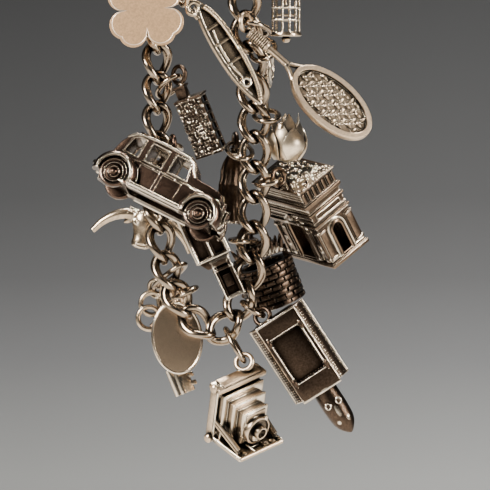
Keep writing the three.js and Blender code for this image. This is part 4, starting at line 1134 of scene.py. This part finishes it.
# %% [markdown]
# ## The oval disc, the key and the steer's head
# The disc is left plain and polished, so it mirrors the room. The key has a double bow, and a fluted
# foot with teeth on one side. The steer's face narrows to a broad muzzle, and its horns are tapered
# threads bent out and down.

# %% Oval disc
def oval_disc(form, finish):
    plate(form, oval(4.0, 5.7, 96), 0.9, edge=0.26, steps=3)
    thread(form, at_depth(oval(3.78, 5.48, 96), -0.42), 0.15, sides=8, closed=True)


# %% Key
def key(form, finish):
    bow, wire, shank, long, bit, bit_long, thick = 1.75, 0.8, 0.75, 13.0, 3.0, 4.4, 1.1
    top = long / 2
    for side in (-1, 1):
        ring = at_depth(oval(bow, bow, 32, (side * bow * 0.35, top + side * bow * 0.55)), 0.12 * side)
        thread(form, ring, wire / 2, sides=12, closed=True)
    thread(form, [(0, 0, top - bow), (0, 0, -long / 2 - 0.5)], 0.6, sides=14)
    block(form, (shank * 2, thick * 0.8, long - bow - 1), (0, 0, -bow * 0.55), edge=0.25)
    collar = [(0, -0.3), (0.85, -0.3), (1.0, -0.12), (1.0, 0.12), (0.85, 0.3), (0, 0.3)]
    for z in (top - bow - 0.4, top - bow - 1.4):
        lathe(form, collar, 18, (0, 0, z))
    block(form, (bit, thick, bit_long), (0.4, 0, -long / 2 + bit_long / 2 - 0.9), edge=0.18)
    for x in (-0.75, 0.15):
        thread(form, [(x, 0, -long / 2 + 3.4), (x, 0, -long / 2 - 0.9)], 0.62, sides=12)
    groove = single(block, (0.2, 0.24, 6.2), edge=0.08)
    set_out(form, groove, upright_at([(x, y, 0.4) for x in (-0.5, 0, 0.5) for y in (-0.46, 0.46)]), finish)
    for tooth in range(3):
        block(form, (0.9, thick, 0.75), (bit / 2 + 0.6, 0, -long / 2 + 0.2 + tooth * 1.35), edge=0.16)


# %% Steer's head
def steer_head(form, finish):
    stations = [(2.8, 1.1, 0.9, 0.0), (2.6, 1.9, 1.5, -0.1), (1.8, 2.3, 1.8, -0.15), (0.9, 2.2, 1.8, -0.2),
                (0.0, 1.85, 1.6, -0.25), (-0.9, 1.55, 1.4, -0.3), (-1.7, 1.45, 1.3, -0.4),
                (-2.3, 1.55, 1.3, -0.5), (-2.8, 1.4, 1.1, -0.5), (-3.1, 0.8, 0.6, -0.5)]
    loft(form, [[(w * math.cos(a), y + d * math.sin(a), z) for a in angles(24)]
                for z, w, d, y in stations])
    for side in (-1, 1):
        horn = flowing([(side * 1.2, 0, 1.7), (side * 3.0, -0.2, 1.8), (side * 4.9, -0.3, 1.1),
                        (side * 6.6, -0.2, -0.3), (side * 7.8, 0, -2.0)], 7)
        thread(form, horn, [1.05 - 0.6 * i / 28 for i in range(29)], sides=14)
        ring_way = [(side * (1.75 + 0.4 * i), -0.05 - 0.04 * i, 2.02 + 0.08 * i) for i in range(4)]
        for at in ring_way:
            lathe(form, [(0.6, -0.1), (0.93, -0.05), (0.93, 0.05), (0.6, 0.1)], 16, at, (side, 0, 0.2))
        ear = flowing([(side * 1.5, 0.2, 1.4), (side * 2.5, 0.1, 1.0), (side * 3.3, 0.1, 0.3)], 5)
        thread(form, ear, [0.3, 0.45, 0.55, 0.6, 0.62, 0.6, 0.55, 0.48, 0.38, 0.26, 0.1], sides=10, flat=0.6)
        ball(form, 0.42, (side * 1.25, -1.5, 0.95), (1, 0.8, 0.9))
        thread(form, at_depth(oval(0.58, 0.5, 14, (side * 1.25, 0.95)), -1.52), 0.15, sides=6, closed=True)
        ball(form, 0.26, (side * 0.6, -1.62, -2.35), (1.2, 0.7, 0.8))
    thread(form, flowing([(-1.0, -1.35, -2.75), (0, -1.62, -2.85), (1.0, -1.35, -2.75)], 5), 0.13)
    tuft = single(ball, 1.0, (0, 0, 0), (0.17, 0.2, 0.7), around=8)
    set_out(form, tuft, [(((i - 4) * 0.32, -1.62 + 0.05 * abs(i - 4), 2.0), (12, 14 * (i - 4), 0), 1.0)
                         for i in range(9)], finish, wander=0.07, seed=11)


# %% [markdown]
# ## The chapel, the draped bell, the bird cage and the beaded coin
# These hang partly behind the others. The chapel's walls have sunk niches in frames, the bell wears
# a cloth in folds, the cage is a ring of bars under a dome, and the coin has a rim of beads.

# %% Chapel
def niche_wall(form, x, z, wide, high, deep, y, border=0.5):
    """A wall with a sunk, arched niche inside a frame."""
    head = wide / 2 - border
    foot, spring = z - high / 2 + border, z + high / 2 - border - head
    niche = [(x + head, foot), *oval(head, head, 14, (x, spring), 0, 180), (x - head, foot)]
    plate(form, rectangle(x, z, wide, high), deep, y, [niche], edge=0.1)
    frame_line(form, rectangle(x, z, wide - 0.1, high - 0.1), 0.09, y - deep / 2)


def chapel(form, finish):
    wide, deep, high, spire, spire_high = 5.2, 2.6, 8.0, 3.0, 6.6
    block(form, (wide, deep - 1.0, high), (0, 0.2, high / 2), edge=0.15)
    for side in (-1, 1):
        niche_wall(form, side * wide * 0.25, high * 0.5, wide / 2, high, 0.7, -deep / 2 + 0.35)
    niche_wall(form, 0, high * 0.5, wide, high, 0.6, deep / 2 - 0.2, 0.8)
    for x in (-1, 1):
        thread(form, [(x * wide / 2, -deep / 2 + 0.1, 0), (x * wide / 2, -deep / 2 + 0.1, high)], 0.3)
    plate(form, [(-wide / 2, 0.1), (wide / 2, 0.1), (wide * 0.3, -1.4), (-wide * 0.3, -1.4)], deep, edge=0.2)
    x, z = wide * 0.12, -0.2 - spire_high / 2
    block(form, (spire, deep * 0.8 - 0.8, spire_high), (x, 0.3, z), edge=0.15)
    niche_wall(form, x, z, spire, spire_high, 0.8, -deep * 0.4 + 0.3, 0.55)
    for low in (-0.5, -2.0, z - spire_high / 2 + 0.2):
        block(form, (spire + 0.5, deep * 0.9, 0.4), (x, 0, low), edge=0.12)
    block(form, (1.3, 0.5, 1.9), (x, -deep * 0.4 + 0.4, z - 0.5), edge=0.15)
    block(form, (wide + 0.5, deep + 0.4, 0.5), (0, 0, high - 0.25), edge=0.16)
    block(form, (wide + 0.2, deep + 0.2, 0.35), (0, 0, 0.1), edge=0.12)
    tile = single(block, (0.42, 0.3, 0.5), edge=0.1)
    row = [((i - 5) * 0.48, -deep / 2 + 0.05, high - 0.75) for i in range(11)]
    set_out(form, tile, upright_at(row), finish)


# %% Draped bell
def draped_bell(form, finish):
    high, folds, sides = 11.6, 9, 72
    profile = [(-0.5, 2.35, 0.3), (-0.485, 2.6, 0.34), (-0.44, 2.55, 0.34), (-0.36, 2.3, 0.32),
               (-0.2, 2.0, 0.28), (-0.05, 1.78, 0.24), (0.0, 1.95, 0.14), (0.03, 1.9, 0.14),
               (0.08, 1.7, 0.2), (0.2, 1.75, 0.2),
               (0.3, 1.5, 0.18), (0.38, 1.15, 0.1), (0.42, 0.95, 0.03), (0.44, 0.9, 0.0)]
    rings = []
    for share, radius, deep in profile:
        ring = []
        for k in range(sides):
            a = TURN * k / sides
            r = radius + deep * math.cos(folds * a + 4 * share) * (0.6 + 0.4 * math.cos(2 * a))
            ring.append((r * math.cos(a), r * math.sin(a), share * high))
        rings.append(ring)
    loft(form, rings)
    lathe(form, [(0, 4.9), (0.95, 4.95), (1.05, 5.15), (0.8, 5.3), (0.62, 5.5), (0.75, 5.7), (0.7, 5.95),
                 (0, 6.1)], 24)
    bead = single(ball, 0.2, (0, 0, 0), around=8)
    hem = [(2.45 * math.cos(a), 2.45 * math.sin(a), -5.5) for a in angles(30)]
    set_out(form, bead, upright_at(hem), finish)


# %% Bird cage
def bird_cage(form, finish):
    radius, high, floor = 2.1, 8.4, 0.7
    low, shoulder = -high / 2, high * 0.22
    lathe(form, [(0, low), (2.2, low), (2.45, low + 0.15), (2.45, low + 0.4), (2.25, low + floor),
                 (0, low + floor)], 32)
    lathe(form, [(0, shoulder), (2.2, shoulder), (2.38, shoulder + 0.2), (2.3, shoulder + 0.5),
                 (2.05, shoulder + 0.75), (1.75, shoulder + 1.3), (1.2, shoulder + 1.9), (0.5, high / 2),
                 (0, high / 2)], 32)
    lathe(form, [(0, low + 0.1), (0.5, low), (0.75, low - 0.4), (0.5, low - 0.85), (0, low - 1.0)], 20)
    cage_bar = single(thread, [(0, 0, low + 0.3), (0, 0, shoulder + 0.2)], 0.2, sides=8)
    ring = [(radius * math.cos(a), radius * math.sin(a), 0) for a in angles(12)]
    set_out(form, cage_bar, upright_at(ring), finish)
    for z in (-1.6, 0.3):
        hoop = [(x, y, z) for x, y in oval(radius, radius, 32)]
        thread(form, hoop, 0.17, sides=8, closed=True, hint=(0, 0, 1))
    curve = flowing([(2.25, 0, shoulder + 0.4), (1.8, 0, shoulder + 1.35), (0.6, 0, high / 2)], 4)
    rib = single(thread, curve, 0.13, sides=6)
    set_out(form, rib, [((0, 0, 0), (0, 0, 30 * i), 1.0) for i in range(12)], finish)
    thread(form, [(-1.4, 0, -0.9), (1.4, 0, -0.9)], 0.18)


# %% Beaded coin
def beaded_coin(form, finish):
    disc = [(0, -0.45), (2.6, -0.45), (3.0, -0.3), (3.0, 0.3), (2.6, 0.45), (0, 0.45)]
    lathe(form, disc, 48, way=(0, 1, 0))
    bead = single(ball, 0.4, (0, 0, 0), around=12)
    rim = [(3.0 * math.cos(a), 0, 3.0 * math.sin(a)) for a in angles(22)]
    set_out(form, bead, upright_at(rim), finish)
    for y in (-0.45, 0.45):
        for radius in (2.3, 1.2):
            thread(form, at_depth(oval(radius, radius, 40), y), 0.14, sides=6, closed=True)


# %% [markdown]
# ## Hanging the charms
# Each charm has an eye soldered on by a short stem, and a jump ring that goes round one side of a
# chain link and through the eye. The table gives each charm's place on the picture, its turn, its
# eye in its own frame, the place of its link, the side of the link and the ring's slide along it.
# The ring's own place follows from those, the same way as in the model for casting.

# %% Charms, jump rings and eyes
JUMP_WIRE = 0.8
JUMP_WIDTH = 3.8
JUMP_SEAT = 1.6
EYE_WIRE = 0.75
EYE_RADIUS = 1.3
STEM = 3.0

CHARMS = [
    (clover, WARM, (146, 10, -4.6), (-4, 0, 0), (0.6, 1.4, -4.1), (157, 31), 1, -0.5),
    (saloon_car, SMOKED, (156.9, 193.7, -11.0), (30, -12, -16), (-3.4, 5.8, 9.3), (157, 152), -1, 0),
    (tower_block, DARK, (201, 125, -0.4), (-22, 8, -24), (-0.8, 0.8, 8.3), (157, 91), -1, 0.5),
    (slender_boat, SILVER, (230, 54, -3.4), (-32, 0, 14), (-1.4, 0.8, 11.3), (156, 1), -1, 0),
    (tennis_racket, WOVEN, (331, 103, -3.0), (-49, 0, 30), (0.8, 0, 18), (246, 30), 1, 0),
    (lotus_bud, PETALS, (287, 138, 2.3), (0, 0, 0), (-3.2, 1.4, 4.3), (254, 121), 1, -0.5),
    (triumphal_arch, AGED, (310.9, 212, 7.4), (-26.5, 27.1, -62.9), (0.8, -3, 9), (254, 181), 1, 0),
    (wishing_well, DARK, (264, 266, 7.0), (-20, 10, 0), (-0.8, 0, 4.8), (253, 242), -1, 0),
    (animal_cart, DARK, (298, 354, -1.6), (-33, 6, 0), (-1.5, 0.8, 8), (240, 300), 1, 0.5),
    (folding_camera, WOVEN, (233, 403, -0.5), (7.1, 36.2, 45.6), (2.2, 1, 6.6), (225, 326), 1, 0.5),
    (oval_disc, MIRROR, (177, 338, 3.4), (-6, 0, 0), (0.8, 0, 6.6), (179, 300), -1, 0.5),
    (key, SILVER, (166, 350, 5.0), (-21.8, 0, 0), (2.2, 0, 9.5), (168, 272), -1, 0),
    (steer_head, SILVER, (144, 229, 5.4), (13, 0, 0), (0.8, 0, 3.8), (159, 212), -1, 0.5),
    (chapel, DARK, (214, 258, -3.3), (-25, 0, 0), (0, 0.8, 10.6), (157, 182), -1, -0.5),
    (draped_bell, DARK, (231, 186, 4.9), (6, 0, 0), (0, 0, 6.8), (254, 151), -1, 0.5),
    (bird_cage, SILVER, (286, 9, 3.0), (0, 0, 15), (-0.8, 0, 5), (244, -30), 1, 0),
    (beaded_coin, SILVER, (268.5, 66, 5.2), (0, 0, 82), (0.8, 0.8, 4.2), (250, 60), 1, -0.5),
]


def basis(x, y, z, at):
    made = Matrix((x, y, z)).transposed().to_4x4()
    made.translation = at
    return made


def hanging(own, eye_place, link_place, side, slide):
    """The jump ring's middle, half length and two ways, and the eye's place."""
    wanted = spot(*link_place)
    nearest = min(LINKS, key=lambda each: (each["centre"] - wanted).length)
    wire = nearest["centre"] + nearest["wide"] * side * LINK_WIDTH / 2 + nearest["long"] * slide
    eye = own @ Vector(eye_place)
    start = wire - (eye - wire).normalized() * JUMP_SEAT
    way = eye - start
    long = way.normalized()
    through = nearest["long"].cross(long).normalized()
    return start + way / 2, way.length / 2, long, through, eye


total = 0
for make, finish, at, turn, eye_place, link_place, side, slide in CHARMS:
    name = make.__name__
    own = seat(at, turn)
    middle, half, long, through, eye = hanging(own, eye_place, link_place, side, slide)
    ring = bmesh.new()
    oval_wire(ring, half, min(half, JUMP_WIDTH / 2), JUMP_WIRE, 48, 12,
              place=basis(long, through, long.cross(through), middle))
    total += triangles(finished("bent_ring_for_" + name, ring, "jump_ring_" + name, WIRE_FINISH))
    form = bmesh.new()
    make(form, finish)
    back = own.inverted()
    centre = eye + long * (EYE_RADIUS - EYE_WIRE / 2 - JUMP_WIRE / 2 - CLEARANCE)
    oval_wire(form, EYE_RADIUS, EYE_RADIUS, EYE_WIRE, 32, 10,
              place=back @ basis(long, -long.cross(through), through, centre))
    core = own.translation
    inward = core - centre
    edge = (inward - through * inward.dot(through)).normalized()
    foot = centre + edge * EYE_RADIUS
    down = core - foot
    end = foot + down.normalized() * min(down.length, STEM)
    thread(form, [back @ foot, back @ end], EYE_WIRE / 2, sides=10, hint=(0.3, 0.2, 0.9))
    piece = finished("cast_" + name, form, name, finish, own)
    total += triangles(piece)
    print(name, "triangles:", triangles(piece))
print("triangles in charms and rings:", total)

# %% [markdown]
# ## Ground, light and camera
# The bracelet hangs before a plain wall over a pale floor. The wall is painted darker towards its
# top and a little towards its left, as a paper backdrop falls into shade. Silver mirrors, so it needs a few
# small pale shapes with dark between them: a window to the left, a card to the right, and strips
# above and low in front. The last light only washes the wall. The camera stands level and far off,
# so the sizes stay true.

# %% Ground
def sheet_of(name, corners, finish):
    mesh = bpy.data.meshes.new(name)
    mesh.from_pydata(corners, [], [tuple(range(len(corners)))])
    mesh.materials.append(finish)
    return shown(name, mesh)


FLOOR, WALL = -0.30, 3.6
wall_paint, tree, skin = painted("grey wall")
height = node(tree, "ShaderNodeSeparateXYZ", {"Vector": node(tree, "ShaderNodeTexCoord").outputs["Object"]})
share = node(tree, "ShaderNodeMapRange", {"From Min": -0.19, "From Max": 0.04, "Value": height.outputs["Z"]})
GREYS = [(0.0, (0.45, 0.45, 0.435)), (0.26, 0.254), (0.43, 0.166), (0.6, 0.121), (1.0, 0.076)]
shade = ramp(tree, share.outputs["Result"], GREYS)
across = node(tree, "ShaderNodeMapRange", {"From Min": -0.1, "From Max": 0.11, "To Min": 0.87, "To Max": 1.1,
                                           "Value": height.outputs["X"]})
shade = mixed(tree, 1.0, shade, across.outputs["Result"], "MULTIPLY")
join(skin, {"Base Color": shade, "Roughness": 1.0, "Specular IOR Level": 0.0})
floor_paint, _, skin = painted("pale floor")
join(skin, {"Base Color": (0.8, 0.79, 0.77, 1), "Roughness": 0.9})
floor = sheet_of("floor", [(-5, -5, FLOOR), (5, -5, FLOOR), (5, WALL, FLOOR), (-5, WALL, FLOOR)], floor_paint)
wall = sheet_of("wall", [(-5, WALL, FLOOR), (5, WALL, FLOOR), (5, WALL, 4), (-5, WALL, 4)], wall_paint)
print("ground set")

# %% Light
sky = bpy.data.worlds.new("room")
bpy.context.scene.world = sky
sky.use_nodes = True
join(sky.node_tree.nodes["Background"], {"Color": (0.62, 0.63, 0.65, 1), "Strength": 0.045})


def soft_light(name, at, size, power, colour=(1, 1, 1), aim=(0.007, 0, -0.076)):
    lamp = bpy.data.lights.new(name, "AREA")
    lamp.shape = "RECTANGLE"
    lamp.size, lamp.size_y = size
    lamp.energy = power
    lamp.color = colour
    thing = shown(name, lamp)
    thing.location = at
    thing.rotation_mode = "QUATERNION"
    thing.rotation_quaternion = (Vector(aim) - Vector(at)).to_track_quat("-Z", "Y")


soft_light("left window", (-0.5, -0.4, 0.3), (0.2, 0.3), 13.5, (1.0, 0.93, 0.83))
soft_light("right card", (0.55, -0.3, 0.1), (0.1, 0.4), 6.5, (1.0, 0.92, 0.81))
soft_light("front strip", (-0.15, -0.8, -0.4), (0.36, 0.07), 1.6, (1.0, 0.91, 0.8))
soft_light("top strip", (0.1, 0.15, 0.5), (0.36, 0.1), 8.0, (1.0, 0.93, 0.83))
soft_light("wall wash", (0.5, 2.2, 1.6), (3.0, 0.6), 66.0, aim=(0.1, 3.6, -0.1))

# %% Camera
VIEW_WIDE = 490 * PIXEL * MM
aim = spot(245, 245) * MM
lens = bpy.data.cameras.new("long lens")
lens.lens = 800
lens.sensor_width = 36
camera = shown("camera", lens)
camera.location = aim + Vector((0, -VIEW_WIDE * lens.lens / lens.sensor_width, 0))
camera.rotation_euler = (math.pi / 2, 0, 0)
bpy.context.scene.camera = camera
print("camera stands back by m:", round(-camera.location.y, 3))
